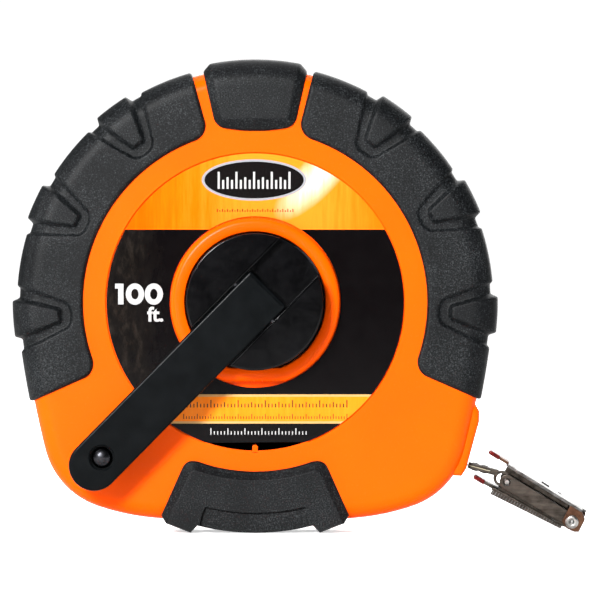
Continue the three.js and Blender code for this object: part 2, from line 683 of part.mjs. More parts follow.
function addMouthGuide(group) {
  const { x0, x1, z0, z1, halfWidth } = GUIDE;
  const body = block(x0, x1, -halfWidth, halfWidth, z0, z1);
  const slotHalf = BLADE_WIDTH / 2 + 0.5;
  const slot = prism(outline([
    [x0 - 1, TAIL_Z + 1.8], [x0 - 1, TAIL_Z - 1.8], [x0 + 2, TAIL_Z - 0.9],
    [x1 + 1, TAIL_Z - 0.9], [x1 + 1, TAIL_Z + 0.9], [x0 + 2, TAIL_Z + 0.9],
  ]), -slotHalf, slotHalf);
  group.add(meshFrom(body.subtract(slot), 'mouth_guide', 'blackPlastic'));
}

// ---------------------------------------------------------------- end clip and hook
const CLIP_LEAF_LENGTH = 7.4;
const CLIP_HALF_WIDTH = 4.6;
const CLIP_RIVET_PLACES = [3, 5.8];
const CLIP_SHEET = 0.7;
const CLIP_EYE_HALF_WIDTH = 2.7;
const CLIP_RIVET_RADIUS = 0.6;
const CLIP_MOUTH_HALF = BLADE_THICKNESS / 2 + GAP;
const EYE = { outer: 2.3, hole: 1.55, slack: 1.9 };

// Clip frame: origin where the blade leaves the mouth, +X along the clip, Z across it.
// A folded strip whose two leaves hold the blade and whose far end is an open eye.
function tapeClip() {
  const { x: pinX, z: pinZ } = HOOK_PIN_PLACE;
  const half = CLIP_MOUTH_HALF;
  const leafEnd = CLIP_LEAF_LENGTH + GAP;
  const leaf = (side) => prism(outline([
    [1, side * half], [leafEnd + 2, side * half],
    [leafEnd + 2, side * (half + CLIP_SHEET)], [1, side * (half + CLIP_SHEET)],
  ]), -CLIP_HALF_WIDTH, CLIP_HALF_WIDTH);
  const web = block(leafEnd, leafEnd + 2, -CLIP_HALF_WIDTH, CLIP_HALF_WIDTH,
    -half - CLIP_SHEET, half + CLIP_SHEET);
  const stadium = (radius, frontY, backY) => joined([
    disc(radius, frontY, backY, pinX - EYE.slack, pinZ, 16),
    disc(radius, frontY, backY, pinX, pinZ, 16),
    block(pinX - EYE.slack, pinX, frontY, backY, pinZ - radius, pinZ + radius),
  ]);
  const eyeHalf = CLIP_EYE_HALF_WIDTH;
  const eye = stadium(EYE.outer, -eyeHalf, eyeHalf);
  const holes = CLIP_RIVET_PLACES.map(rivetHole);
  return cut(joined([leaf(1), leaf(-1), web, eye]), [stadium(EYE.hole, -FAR, FAR), ...holes]);
}

function rivetHole(x) {
  return alongZ(disc(CLIP_RIVET_RADIUS + GAP, -3, 3)).translate([x, 0, 0]);
}

function clipRivet(x) {
  const seat = CLIP_MOUTH_HALF + CLIP_SHEET + GAP;
  const profile = [
    [0, -seat - 0.5], [0.7, -seat - 0.45], [1.2, -seat], [CLIP_RIVET_RADIUS, -seat],
    [CLIP_RIVET_RADIUS, seat], [1.2, seat], [0.7, seat + 0.45], [0, seat + 0.5],
  ];
  return alongZ(turned(profile, ROUND.small)).translate([x, 0, 0]);
}

// Hook frame: origin on the hook pin, +X along the hook, Z towards its upper side.
const CHEEK = { inner: 3.5, outer: 4.2, half: 2.2 };
const UPPER_EAR = { inner: 4.5, outer: 5.3 };
const LOWER_EAR = { inner: 2.5, outer: 3.2 };
const EYELET = { shank: 1.2, bore: 0.6, flare: 2 };

function hookBody() {
  const { inner, outer, half } = CHEEK;
  const profile = [
    ...arcPoints(half, 90, 270, 8),
    ...arcPoints(half - 0.2, -90, 90, 8).map((point) => (
      new THREE.Vector2(point.x + EYELET_U, point.y)
    )),
  ];
  const cheeks = [prism(profile, -outer, -inner), prism(profile, inner, outer)];
  const web = block(4, EYELET_U - 4, -inner - 0.1, inner + 0.1, -SHEET / 2, SHEET / 2);
  const holes = [
    disc(HOOK_PIN_RADIUS + GAP, -FAR, FAR),
    disc(EYELET.shank + GAP, -FAR, FAR, EYELET_U),
  ];
  return cut(joined([...cheeks, web]), holes);
}

// A claw lies along the hook and turns on the eyelet. Its plate's height above the hook's
// middle line runs evenly from `nearPin` to `nearEyelet`; `side` is 1 above and -1 below.
const UPPER_CLAW = { side: 1, nearPin: 4.2, nearEyelet: 3.8, half: 5.3 };
const LOWER_CLAW = { side: -1, nearPin: 3.5, nearEyelet: 2.6, half: 4.2 };
const PLATE_START = -2.4;
const PRONG_START = -6.4;
const PRONG_HALF = 2;
const TIP = { length: 2.6, half: 2.2, overlap: 0.15 };   // dipped tip, a little thicker than the prong
const CLAW_TAIL = { half: 2.1, end: 2.2 };
const FLANGE_DEPTH = 1.3;

function plateHeight({ nearPin, nearEyelet }, u) {
  return nearPin + ((nearEyelet - nearPin) * (u - PLATE_START)) / (EYELET_U - PLATE_START);
}

function clawStrip(claw, u0, u1, frontY, backY) {
  const { side } = claw;
  const [h0, h1] = [plateHeight(claw, u0), plateHeight(claw, u1)];
  return prism(outline([
    [u0, side * h0], [u1, side * h1], [u1, side * (h1 + SHEET)], [u0, side * (h0 + SHEET)],
  ]), frontY, backY);
}

function assembledClaw(claw, ear, earOutline, strips) {
  const cheek = earOutline.map(([u, v]) => new THREE.Vector2(EYELET_U + u, claw.side * v));
  const ears = [prism(cheek, -ear.outer, -ear.inner), prism(cheek, ear.inner, ear.outer)];
  const prong = clawStrip(claw, PRONG_START, PLATE_START + 0.1, -PRONG_HALF, PRONG_HALF);
  const hole = disc(EYELET.shank + GAP, -FAR, FAR, EYELET_U);
  return cut(joined([prong, ...strips, ...ears]), [hole]);
}

function upperClaw() {
  const { nearEyelet, half } = UPPER_CLAW;
  const foot = nearEyelet + SHEET / 2;
  const earOutline = [
    [-2.9, foot], [-2.6, -1.5], [-0.4, -2.5], [3.3, -2], [3, 2.6], [0.9, foot],
  ];
  const strips = [
    clawStrip(UPPER_CLAW, PLATE_START, EYELET_U + 0.9, -half, half),
    clawStrip(UPPER_CLAW, EYELET_U, EYELET_U + CLAW_TAIL.end, -CLAW_TAIL.half, CLAW_TAIL.half),
  ];
  return assembledClaw(UPPER_CLAW, UPPER_EAR, earOutline, strips);
}

// The lower claw is forked at the eyelet, so that the upper claw's tail passes through it,
// and its two long edges are turned down into flanges.
function lowerClaw() {
  const { inner } = LOWER_EAR;
  const { side, nearPin, nearEyelet, half } = LOWER_CLAW;
  const foot = nearEyelet + SHEET / 2;
  const earOutline = [
    [-3.6, foot], [-2.2, -1.5], [-0.4, -2.4], [2, -1.5], [2.3, 1.2], [0.4, 2.4], [-1.8, foot],
  ];
  const forkStart = EYELET_U - 5.2;
  const forkEnd = EYELET_U - 1.8;
  const flange = outline([
    [PLATE_START, side * (nearPin + SHEET / 2)],
    [forkEnd, side * (nearEyelet + SHEET / 2)],
    [forkEnd, side * (nearEyelet + SHEET + 0.3)],
    [PLATE_START, side * (nearPin + SHEET + FLANGE_DEPTH)],
  ]);
  const strips = [
    clawStrip(LOWER_CLAW, PLATE_START, forkStart, -half, half),
    clawStrip(LOWER_CLAW, forkStart - 1, forkEnd, -half, -inner),
    clawStrip(LOWER_CLAW, forkStart - 1, forkEnd, inner, half),
    prism(flange, -half, SHEET - half),
    prism(flange, half - SHEET, half),
  ];
  return assembledClaw(LOWER_CLAW, LOWER_EAR, earOutline, strips);
}

function clawTip(claw) {
  const { side } = claw;
  const start = PRONG_START - GAP;
  const end = start - TIP.length;
  const z0 = plateHeight(claw, start) - TIP.overlap;
  const z1 = z0 + SHEET + 2 * TIP.overlap;
  return prism(outline([
    [start, side * z0], [end + 0.5, side * (z0 + 0.1)], [end, side * (z0 + 0.5)],
    [end + 0.5, side * z1], [start, side * z1],
  ]), -TIP.half, TIP.half);
}

function hookEyelet() {
  const end = UPPER_EAR.outer + GAP;
  const profile = [
    [EYELET.bore, -end - 0.5], [1.5, -end - 0.6], [EYELET.flare, -end - 0.2],
    [EYELET.flare, -end], [EYELET.shank, -end], [EYELET.shank, end], [EYELET.flare, end],
    [EYELET.flare, end + 0.2], [1.5, end + 0.6], [EYELET.bore, end + 0.5],
  ];
  return turned(profile, 16).translate([EYELET_U, 0, 0]);
}

function addEndHook(group) {
  const clipFrame = new THREE.Group();
  clipFrame.position.set(MOUTH_X, 0, TAIL_Z);
  clipFrame.rotation.y = CLIP_DROOP * DEG;
  group.add(clipFrame);
  clipFrame.add(meshFrom(tapeClip(), 'tape_clip', 'hookSteel'));
  CLIP_RIVET_PLACES.forEach((x, i) => {
    clipFrame.add(meshFrom(clipRivet(x), `clip_rivet_${i + 1}`, 'steel'));
  });

  const droopFrame = new THREE.Group();
  droopFrame.position.set(HOOK_PIN_PLACE.x, 0, HOOK_PIN_PLACE.z);
  droopFrame.rotation.y = (HOOK_DROOP - CLIP_DROOP) * DEG;
  clipFrame.add(droopFrame);
  const hookFrame = new THREE.Group();
  hookFrame.rotation.x = HOOK_ROLL * DEG;
  droopFrame.add(hookFrame);
  const pin = disc(HOOK_PIN_RADIUS, -CHEEK.outer, CHEEK.outer);
  hookFrame.add(meshFrom(pin, 'hook_pin', 'steel'));
  hookFrame.add(meshFrom(hookBody(), 'hook_body', 'hookSteel'));
  hookFrame.add(meshFrom(upperClaw(), 'upper_claw', 'hookSteel'));
  hookFrame.add(meshFrom(lowerClaw(), 'lower_claw', 'hookSteel'));
  hookFrame.add(meshFrom(clawTip(UPPER_CLAW), 'upper_claw_tip', 'redDip'));
  hookFrame.add(meshFrom(clawTip(LOWER_CLAW), 'lower_claw_tip', 'redDip'));
  hookFrame.add(meshFrom(hookEyelet(), 'hook_eyelet', 'steel'));
}

// ---------------------------------------------------------------- assembly
function addCase(group) {
  group.add(meshFrom(frontShell(), 'front_case_shell', 'orangePlastic'));
  group.add(meshFrom(rearShell(), 'rear_case_shell', 'orangePlastic'));
  SCREW_PLACES.forEach((at, i) => {
    group.add(meshFrom(caseScrew(at), `case_screw_${i + 1}`, 'steel'));
  });
}

const reel = new THREE.Group();
reel.position.z = DRUM_AXIS_Z;
addCase(reel);
addRubber(reel);
addLabels(reel);
addDrum(reel);
addCrank(reel);
addBlade(reel);
addMouthGuide(reel);
addEndHook(reel);

const part = new THREE.Group();
part.add(reel);
part.updateMatrixWorld(true);

export default part;
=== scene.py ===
"""Looks of the surveyor's tape reel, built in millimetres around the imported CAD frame.

The drum axis runs along Y and the front, with the crank, faces -Y. Every solid below is a pair
(vertices, faces) in millimetres until add_piece() turns it into an object in metres.
"""
import math
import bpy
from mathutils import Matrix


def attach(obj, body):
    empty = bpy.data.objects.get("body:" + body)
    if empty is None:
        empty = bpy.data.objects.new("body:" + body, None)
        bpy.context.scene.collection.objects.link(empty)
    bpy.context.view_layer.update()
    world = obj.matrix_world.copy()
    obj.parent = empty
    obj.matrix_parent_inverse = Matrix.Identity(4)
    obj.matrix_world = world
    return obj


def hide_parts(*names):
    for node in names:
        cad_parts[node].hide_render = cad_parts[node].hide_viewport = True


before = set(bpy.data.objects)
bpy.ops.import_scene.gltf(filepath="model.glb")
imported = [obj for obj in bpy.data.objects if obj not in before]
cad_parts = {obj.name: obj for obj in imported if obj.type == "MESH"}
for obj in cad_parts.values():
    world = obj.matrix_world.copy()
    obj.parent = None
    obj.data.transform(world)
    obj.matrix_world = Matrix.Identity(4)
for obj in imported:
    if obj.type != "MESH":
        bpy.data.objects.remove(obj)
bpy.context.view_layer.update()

from types import SimpleNamespace

import bmesh
import bpy
import numpy as np
from mathutils import Matrix, Vector

# ---- dimensions, millimetres
MM = 0.001
DEG = math.pi / 180
AXIS_Z = 67.9
GAP = 0.3
FAR = 200.0

CASE_ARCS = [(69.0, 96.8), (274.0, 7.5), (23.9, 56.9), (71.0, 18.8)]   # radius, turn in degrees
FACE_Y = 12.0                 # label faces lie this far in front of and behind the middle plane
RIM_ROUNDING = 5.0
WALL = 2.5
PARTING_Y = 2.0
LABEL_RADIUS = 43.7
LABEL_RECESS_Y = 11.3
LABEL_FILM = 0.4
COLUMN_STEP = 1.2             # spacing of the points round the case outline
RING = {"inner": 20.6, "outer": 24.9, "top": 16.0}
SCREW_PLACES = [(60.0, 40.0), (60.0, 140.0), (63.5, 216.0), (57.6, 270.0), (63.5, 322.0)]

RUBBER_INNER = 50.6
RUBBER_FIELD = 1.3
LUG_RISE_AXIAL = 2.0
LUG_RISE_RADIAL = 2.6

HUB_RADIUS = 20.0
HUB_FRONT_Y = -26.4
HUB_BACK_Y = -6.7
ARM_ANGLE = 225.5
ARM_HALF = 7.35
ARM_TAIL = 5.6
ARM_REACH = 66.85
ARM_FRONT_Y = -26.6
ARM_BACK_Y = -22.5
ARM_MIDDLE_Y = (ARM_FRONT_Y + ARM_BACK_Y) / 2
KNOB_PLACE = 63.6
KNOB_BOTTOM_Y = -14.7
KNOB_TOP_Y = -22.2
KNOB_BORE = 2.05
CRANK_PIN_RADIUS = 1.8

TAIL_Z = -48.025
MOUTH_X = 62.2
SHEET = 0.8                   # thickness of the hook's steel
HOOK_PIN = (13.3, -1.3)       # along the clip and across it
EYELET_U = 22.4               # along the hook, from its pin
CLIP_RIVETS = (3, 5.8)
THROUGH = 9.0                 # half length of a tool that cuts right through the hook

REEL = Matrix.Translation((0, 0, AXIS_Z * MM)) @ Matrix.Scale(MM, 4)
CRANK = REEL @ Matrix.Rotation(-ARM_ANGLE * DEG, 4, "Y")
CLIP = REEL @ Matrix.Translation((MOUTH_X, 0, TAIL_Z)) @ Matrix.Rotation(15 * DEG, 4, "Y")
HOOK = (CLIP @ Matrix.Translation((HOOK_PIN[0], 0, HOOK_PIN[1])) @ Matrix.Rotation(16 * DEG, 4, "Y")
        @ Matrix.Rotation(8.5 * DEG, 4, "X"))


# ---- solids
def band(low, high):
    """Faces between two closed rows of vertices; a row of one vertex makes a fan."""
    count = max(len(low), len(high))
    faces = []
    for i in range(count):
        j = (i + 1) % count
        corners = [low[i % len(low)], low[j % len(low)], high[j % len(high)], high[i % len(high)]]
        faces.append(list(dict.fromkeys(corners)))
    return faces


def rows_to_solid(rows, wrap):
    """Rows of points, each closed on itself. wrap joins the last row to the first."""
    vertices, indices = [], []
    for row in rows:
        indices.append(list(range(len(vertices), len(vertices) + len(row))))
        vertices.extend(row)
    pairs = list(zip(indices, indices[1:]))
    if wrap:
        pairs.append((indices[-1], indices[0]))
    faces = [face for low, high in pairs for face in band(low, high)]
    if not wrap:
        faces += [end for end in (indices[0][::-1], indices[-1]) if len(end) > 1]
    return vertices, faces


def lathe(profile, segments=96, x=0.0, z=0.0):
    """Solid of revolution about Y: (radius, y) pairs that start and end on the axis, or a loop."""
    on_axis = profile[0][0] == 0 and profile[-1][0] == 0
    rows = []
    for radius, y in profile:
        if radius == 0:
            rows.append([(x, y, z)])
            continue
        turn = [2 * math.pi * i / segments for i in range(segments)]
        rows.append([(x + radius * math.cos(a), y, z + radius * math.sin(a)) for a in turn])
    return rows_to_solid(rows, not on_axis)


def rod(radius, y0, y1, segments=24, x=0.0, z=0.0):
    """A cylinder along Y."""
    return lathe([(0, y0), (radius, y0), (radius, y1), (0, y1)], segments, x, z)


def polar(radius, angle):
    return radius * math.cos(angle * DEG), radius * math.sin(angle * DEG)


def arc(radius, start, end, steps, x=0.0, z=0.0):
    turns = [start + (end - start) * i / steps for i in range(steps + 1)]
    return [(x + polar(radius, a)[0], z + polar(radius, a)[1]) for a in turns]


def rounded(corners, radius, steps=4):
    """Rounds every corner of a closed outline. radius is one number or one for each corner."""
    points = []
    for i, corner in enumerate(corners):
        size = radius[i] if isinstance(radius, (list, tuple)) else radius
        here = Vector(corner)
        start = here + (Vector(corners[i - 1]) - here).normalized() * size
        end = here + (Vector(corners[(i + 1) % len(corners)]) - here).normalized() * size
        for k in range(steps + 1):
            t = k / steps
            point = start * (1 - t) ** 2 + here * 2 * t * (1 - t) + end * t * t
            points.append((point.x, point.y))
    return points


def counter_clockwise(outline):
    area = sum(a[0] * b[1] - b[0] * a[1] for a, b in zip(outline, outline[1:] + outline[:1]))
    return outline if area > 0 else outline[::-1]


def inset(outline, distance):
    """Moves the edges of a counter-clockwise outline inwards."""
    inner = []
    for i, corner in enumerate(outline):
        here = Vector(corner)
        before = (here - Vector(outline[i - 1])).normalized()
        after = (Vector(outline[(i + 1) % len(outline)]) - here).normalized()
        n0, n1 = Vector((-before.y, before.x)), Vector((-after.y, after.x))
        det = n0.x * n1.y - n0.y * n1.x
        if abs(det) < 0.3:
            step = (n0 + n1).normalized() * distance
        else:
            step = Vector(((n1.y - n0.y) * distance / det, (n0.x - n1.x) * distance / det))
        inner.append((here.x + step.x, here.y + step.y))
    return inner


def raised(outline, steps):
    """Stack of rings over one outline. steps are (y, inset) pairs."""
    outline = counter_clockwise(outline)
    rows = [[(x, y, z) for x, z in inset(outline, distance)] for y, distance in steps]
    return rows_to_solid(rows, False)


def edge_rings(edge, steps):
    """(depth, inset) pairs of a rounded edge, from the face downwards."""
    if edge == 0:
        return [(0, 0)]
    turns = [math.pi / 2 * i / steps for i in range(steps + 1)]
    rings = [(edge * (1 - math.cos(a)), edge * (1 - math.sin(a))) for a in turns]
    return [(0, edge * 1.5), *rings]


def slab(outline, front, back, edge=0.3, back_edge=None, steps=3):
    """Flat solid from y=front to y=back with rounded edges round both faces."""
    near = edge_rings(edge, steps)
    far = edge_rings(edge if back_edge is None else back_edge, steps)[::-1]
    return raised(outline, [(front + depth, distance) for depth, distance in near]
                  + [(back - depth, distance) for depth, distance in far])


def both_sides(outline, near, far, edge):
    """The same plate on each side of the middle plane."""
    return [slab(outline, -far, -near, edge), slab(outline, near, far, edge)]


def box(x0, x1, y0, y1, z0, z1):
    return slab([(x0, z0), (x1, z0), (x1, z1), (x0, z1)], y0, y1, edge=0)


def moved(solid, matrix):
    vertices, faces = solid
    return [tuple(matrix @ Vector(v)) for v in vertices], faces


def gathered(solids):
    """Several solids that don't touch, as one."""
    vertices, faces = [], []
    for points, polygons in solids:
        start = len(vertices)
        vertices.extend(points)
        faces.extend([[start + i for i in polygon] for polygon in polygons])
    return vertices, faces


def mesh_from(name, solid):
    mesh = bpy.data.meshes.new(name)
    mesh.from_pydata([tuple(v) for v in solid[0]], [], solid[1])
    editor = bmesh.new()
    editor.from_mesh(mesh)
    bmesh.ops.recalc_face_normals(editor, faces=editor.faces)
    editor.to_mesh(mesh)
    editor.free()
    return mesh


def linked(name, data):
    """A new object in the scene."""
    made = bpy.data.objects.new(name, data)
    bpy.context.scene.collection.objects.link(made)
    return made


def temporary(solid):
    return linked("temporary", mesh_from("temporary", solid))


def evaluated(piece, helpers=()):
    """The piece's mesh with its modifiers applied, as a solid. Removes the temporary objects."""
    graph = bpy.context.evaluated_depsgraph_get()
    mesh = bpy.data.meshes.new_from_object(piece.evaluated_get(graph))
    solid = [tuple(v.co) for v in mesh.vertices], [list(p.vertices) for p in mesh.polygons]
    bpy.data.meshes.remove(mesh)
    for extra in [piece, *helpers]:
        bpy.data.meshes.remove(extra.data)
    return solid


def combined(solid, others, operation):
    piece = temporary(solid)
    helpers = [temporary(other) for other in others]
    for helper in helpers:
        modifier = piece.modifiers.new("combine", "BOOLEAN")
        modifier.operation = operation
        modifier.solver = "EXACT"
        modifier.object = helper
    return evaluated(piece, helpers)


def cut(solid, tools):
    return combined(solid, tools, "DIFFERENCE")


def joined(solids):
    return combined(solids[0], solids[1:], "UNION")


def bevelled(solid, width, segments=2):
    piece = temporary(solid)
    modifier = piece.modifiers.new("bevel", "BEVEL")
    modifier.width = width
    modifier.segments = segments
    modifier.limit_method = "ANGLE"
    modifier.angle_limit = 40 * DEG
    return evaluated(piece)


def add_piece(name, solid, material, body, nodes=(), matrix=REEL, sharp=32):
    mesh = mesh_from(name, solid)
    mesh.transform(matrix)
    mesh.shade_smooth()
    mesh.set_sharp_from_angle(angle=sharp * DEG)
    mesh.materials.append(material)
    piece = linked(name, mesh)
    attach(piece, body)
    if nodes:
        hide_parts(*nodes)


# ---- materials
def put(node, **sockets):
    """Sets the node's own sockets. An underscore in a name stands for a space."""
    for name, value in sockets.items():
        node.inputs[name.replace("_", " ")].default_value = value
    return node


class Nodes:
    """A node tree and a few helpers for patterns in it."""

    def __init__(self, tree, space):
        self.tree = tree
        self.coordinates = self.node("ShaderNodeTexCoord").outputs[space]

    def node(self, kind, **settings):
        made = self.tree.nodes.new(kind)
        for key, value in settings.items():
            setattr(made, key, value)
        return made

    def link(self, source, target):
        self.tree.links.new(source, target)

    def math(self, operation, first, second=0.0):
        made = self.node("ShaderNodeMath", operation=operation)
        for socket, value in zip(made.inputs, (first, second)):
            if isinstance(value, (int, float)):
                socket.default_value = value
            else:
                self.link(value, socket)
        return made.outputs[0]

    def stretched(self, scale, turn=(0, 0, 0)):
        mapping = put(self.node("ShaderNodeMapping"), Scale=scale, Rotation=turn)
        self.link(self.coordinates, mapping.inputs["Vector"])
        return mapping.outputs["Vector"]

    def noise(self, size, detail=3.0, roughness=0.5, vector=None):
        """Noise whose largest features are about `size` millimetres."""
        made = put(self.node("ShaderNodeTexNoise"), Scale=1 / (size * MM), Detail=detail,
                   Roughness=roughness)
        self.link(vector or self.coordinates, made.inputs["Vector"])
        return made.outputs["Fac"]

    def ramp(self, source, stops, interpolation="LINEAR"):
        made = self.node("ShaderNodeValToRGB")
        made.color_ramp.interpolation = interpolation
        elements = made.color_ramp.elements
        while len(elements) < len(stops):
            elements.new(0.5)
        for element, (position, colour) in zip(elements, stops):
            element.position = position
            element.color = (*colour, 1)
        self.link(source, made.inputs["Fac"])
        return made.outputs["Color"]

    def span(self, source, low, high, to_low=0.0, to_high=1.0):
        made = put(self.node("ShaderNodeMapRange"), From_Min=low, From_Max=high, To_Min=to_low,
                   To_Max=to_high)
        self.link(source, made.inputs["Value"])
        return made.outputs["Result"]

    def mix(self, factor, first, second):
        made = self.node("ShaderNodeMix", data_type="RGBA")
        sockets = [made.inputs[0], made.inputs[6], made.inputs[7]]
        for socket, value in zip(sockets, (factor, first, second)):
            if isinstance(value, tuple):
                socket.default_value = (*value, 1)
            elif isinstance(value, (int, float)):
                socket.default_value = value
            else:
                self.link(value, socket)
        return made.outputs[2]


class Shader(Nodes):
    """A node material in object space, around the principled shader."""

    def __init__(self, name, colour, roughness, **sockets):
        self.material = bpy.data.materials.new(name)
        self.material.use_nodes = True
        super().__init__(self.material.node_tree, "Object")
        self.bsdf = self.tree.nodes["Principled BSDF"]
        put(self.bsdf, Base_Color=(*colour, 1), Roughness=roughness, **sockets)

    def colour(self, source):
        self.link(source, self.bsdf.inputs["Base Color"])

    def roughness(self, source):
        self.link(source, self.bsdf.inputs["Roughness"])

    def bump(self, source, strength, depth):
        """depth is the height of the relief in millimetres."""
        made = put(self.node("ShaderNodeBump"), Strength=strength, Distance=depth * MM)
        self.link(source, made.inputs["Height"])
        self.link(made.outputs["Normal"], self.bsdf.inputs["Normal"])


def surface(name, base, roughness, specular=0.5, tones=None, gloss=None, relief=None):
    """A finish with noise in its colour, roughness and height. Each starts with its noise."""
    s = Shader(name, base, roughness, Specular_IOR_Level=specular)
    if tones:
        s.colour(s.ramp(s.noise(*tones[0]), tones[1:]))
    if gloss:
        s.roughness(s.span(s.noise(*gloss[0]), *gloss[1:]))
    if relief:
        s.bump(s.noise(*relief[0]), *relief[1:])
    return s.material


def orange_plastic():
    return surface("orange_abs", (0.93, 0.088, 0.0), 0.24, 0.06,
                   tones=((30, 2), (0.3, (0.92, 0.082, 0.0)), (0.7, (0.94, 0.092, 0.0))),
                   gloss=((0.8, 4), 0.3, 0.7, 0.2, 0.29), relief=((0.35, 3), 0.1, 0.02))


def armour_rubber():
    s = Shader("armour_rubber", (0.007, 0.008, 0.0085), 0.45, Specular_IOR_Level=0.09)
    grain = s.noise(0.4, 2, 0.7)
    blotch = s.noise(14, 3)
    tone = s.math("ADD", s.math("MULTIPLY", grain, 0.8), s.math("MULTIPLY", blotch, 0.2))
    s.colour(s.ramp(tone, [(0.40, (0.001, 0.0013, 0.0015)), (0.54, (0.0055, 0.0063, 0.007)),
                           (0.68, (0.036, 0.039, 0.041))]))
    s.roughness(s.span(grain, 0.3, 0.7, 0.4, 0.56))
    s.bump(grain, 0.5, 0.06)
    return s.material


def hub_plastic():
    return surface("hub_plastic", (0.0015, 0.0015, 0.0017), 0.12, 0.14,
                   tones=((6, 4), (0.35, (0.001, 0.001, 0.0012)), (0.7, (0.003, 0.003, 0.0034))),
                   gloss=((2.5, 6, 0.7), 0.35, 0.75, 0.08, 0.17), relief=((1.2, 3), 0.06, 0.02))


def arm_plastic():
    return surface("arm_plastic", (0.002, 0.0025, 0.003), 0.23, 0.05,
                   tones=((5, 4), (0.35, (0.0014, 0.0019, 0.0022)),
                          (0.7, (0.003, 0.0037, 0.0042))),
                   gloss=((0.7, 4), 0.3, 0.7, 0.2, 0.27), relief=((0.3, 3), 0.15, 0.02))


def inner_plastic():
    return surface("inner_plastic", (0.012, 0.012, 0.013), 0.55,
                   gloss=((1.0, 4), 0.3, 0.7, 0.45, 0.65), relief=((0.5, 3), 0.2, 0.03))


def metal(name, light, dark, roughness, brush=(1, 1, 1), turn=(0, 0, 0), tarnish=0.5, size=1.2):
    """Bare metal with fine brush lines and patches of tarnish."""
    s = Shader(name, light, roughness, Metallic=1.0)
    lines = s.noise(size, 5, 0.7, s.stretched(brush, turn))
    patches = s.noise(3.5, 4, 0.6)
    worn = s.math("ADD", s.math("MULTIPLY", lines, 1 - tarnish), s.math("MULTIPLY", patches, tarnish))
    s.colour(s.ramp(worn, [(0.38, dark), (0.6, light)]))
    s.roughness(s.span(worn, 0.35, 0.65, roughness + 0.15, roughness - 0.08))
    s.bump(lines, 0.25, 0.03)
    return s.material


def blade_enamel():
    s = Shader("blade_enamel", (0.33, 0.31, 0.22), 0.4)
    s.colour(s.ramp(s.noise(2.0, 4, vector=s.stretched((0.1, 1, 1))),
                    [(0.35, (0.28, 0.25, 0.16)), (0.65, (0.35, 0.33, 0.24))]))
    s.roughness(s.span(s.noise(0.8, 3), 0.3, 0.7, 0.3, 0.45))
    return s.material


def red_dip():
    return surface("red_dip", (0.13, 0.004, 0.004), 0.22, 0.2,
                   tones=((0.9, 4), (0.35, (0.05, 0.002, 0.002)), (0.65, (0.15, 0.005, 0.004))),
                   relief=((0.5, 3), 0.3, 0.05))


def printed(name, colour):
    shade = tuple(c * 0.88 for c in colour)
    return surface(name, colour, 0.14, 0.2, tones=((0.6, 4), (0.3, shade), (0.6, colour)))


def front_label_film():
    """Printed film: a golden field above with a painted highlight right of the badge, smoky black,
    and a yellow band below.
    """
    s = Shader("front_label_film", (0.006, 0.005, 0.005), 0.13, Specular_IOR_Level=0.08)
    split = s.node("ShaderNodeSeparateXYZ")
    s.link(s.coordinates, split.inputs[0])
    reach = 44.0
    height = s.span(split.outputs["Z"], (AXIS_Z - reach) * MM, (AXIS_Z + reach) * MM)

    def at(z):
        return (z + reach) / (2 * reach)

    black = (0.0022, 0.0016, 0.0018)
    smoke = s.noise(3, 8, 0.75, s.stretched((1, 1, 0.5), (0, -0.6, 0)))
    left = s.span(split.outputs["X"], -0.014, -0.034)
    smoky = s.ramp(s.math("MULTIPLY", smoke, left),
                   [(0.34, black), (0.5, (0.005, 0.004, 0.0035)), (0.7, (0.02, 0.015, 0.012))])
    streaks = s.noise(9, 6, 0.65, s.stretched((6, 1, 0.5), (0, 40 * DEG, 0)))
    across = s.span(split.outputs["X"], -0.036, 0.036)
    grain = s.math("ADD", across, s.math("MULTIPLY", s.math("SUBTRACT", streaks, 0.5), 0.55))
    field = s.ramp(grain, [(0.0, (0.90, 0.085, 0.0)), (0.2, (0.92, 0.125, 0.001)),
                           (0.45, (0.93, 0.20, 0.012)), (0.75, (0.93, 0.20, 0.012)),
                           (1.0, (0.92, 0.125, 0.002))])
    # A soft pale spot right of the badge, streaked along the brushing: a painted highlight mixed into
    # the golden field
    painted_highlight_place = put(s.node("ShaderNodeMapping", vector_type="TEXTURE"),
                     Location=(0.0175, 0, (AXIS_Z + 36) * MM), Rotation=(0, 45 * DEG, 0),
                     Scale=(0.0062, 1, 0.017))
    s.link(s.coordinates, painted_highlight_place.inputs["Vector"])
    painted_highlight_spot = s.node("ShaderNodeTexGradient", gradient_type="SPHERICAL")
    s.link(painted_highlight_place.outputs["Vector"], painted_highlight_spot.inputs["Vector"])
    glow = s.math("MULTIPLY", painted_highlight_spot.outputs["Fac"], s.span(streaks, 0.3, 0.6, 0.75, 1.25))
    field = s.mix(s.span(glow, 0.05, 0.85), field, (0.80, 0.62, 0.44))
    band = s.ramp(streaks, [(0.3, (0.86, 0.19, 0.004)), (0.7, (0.90, 0.24, 0.01))])
    in_field = s.ramp(height, [(0.0, (0, 0, 0)), (at(21.2), (1, 1, 1))], "CONSTANT")
    in_band = s.ramp(height, [(0.0, (0, 0, 0)), (at(-35.6), (1, 1, 1)), (at(-27.6), (0, 0, 0))],
                     "CONSTANT")
    on_line = s.ramp(height, [(0.0, (0, 0, 0)), (at(-35.8), (1, 1, 1)), (at(-35.35), (0, 0, 0)),
                              (at(-27.9), (1, 1, 1)), (at(-27.45), (0, 0, 0))], "CONSTANT")
    base = s.mix(in_field, smoky, field)
    base = s.mix(in_band, base, band)
    s.colour(s.mix(on_line, base, (0.50, 0.30, 0.11)))
    s.roughness(s.span(s.noise(5, 4), 0.3, 0.7, 0.1, 0.15))
    return s.material


def rear_label_film():
    return surface("rear_label_film", (0.006, 0.005, 0.005), 0.14, 0.1,
                   tones=((12, 5), (0.4, (0.006, 0.005, 0.005)), (0.8, (0.02, 0.013, 0.01))),
                   gloss=((5, 4), 0.3, 0.7, 0.1, 0.17))


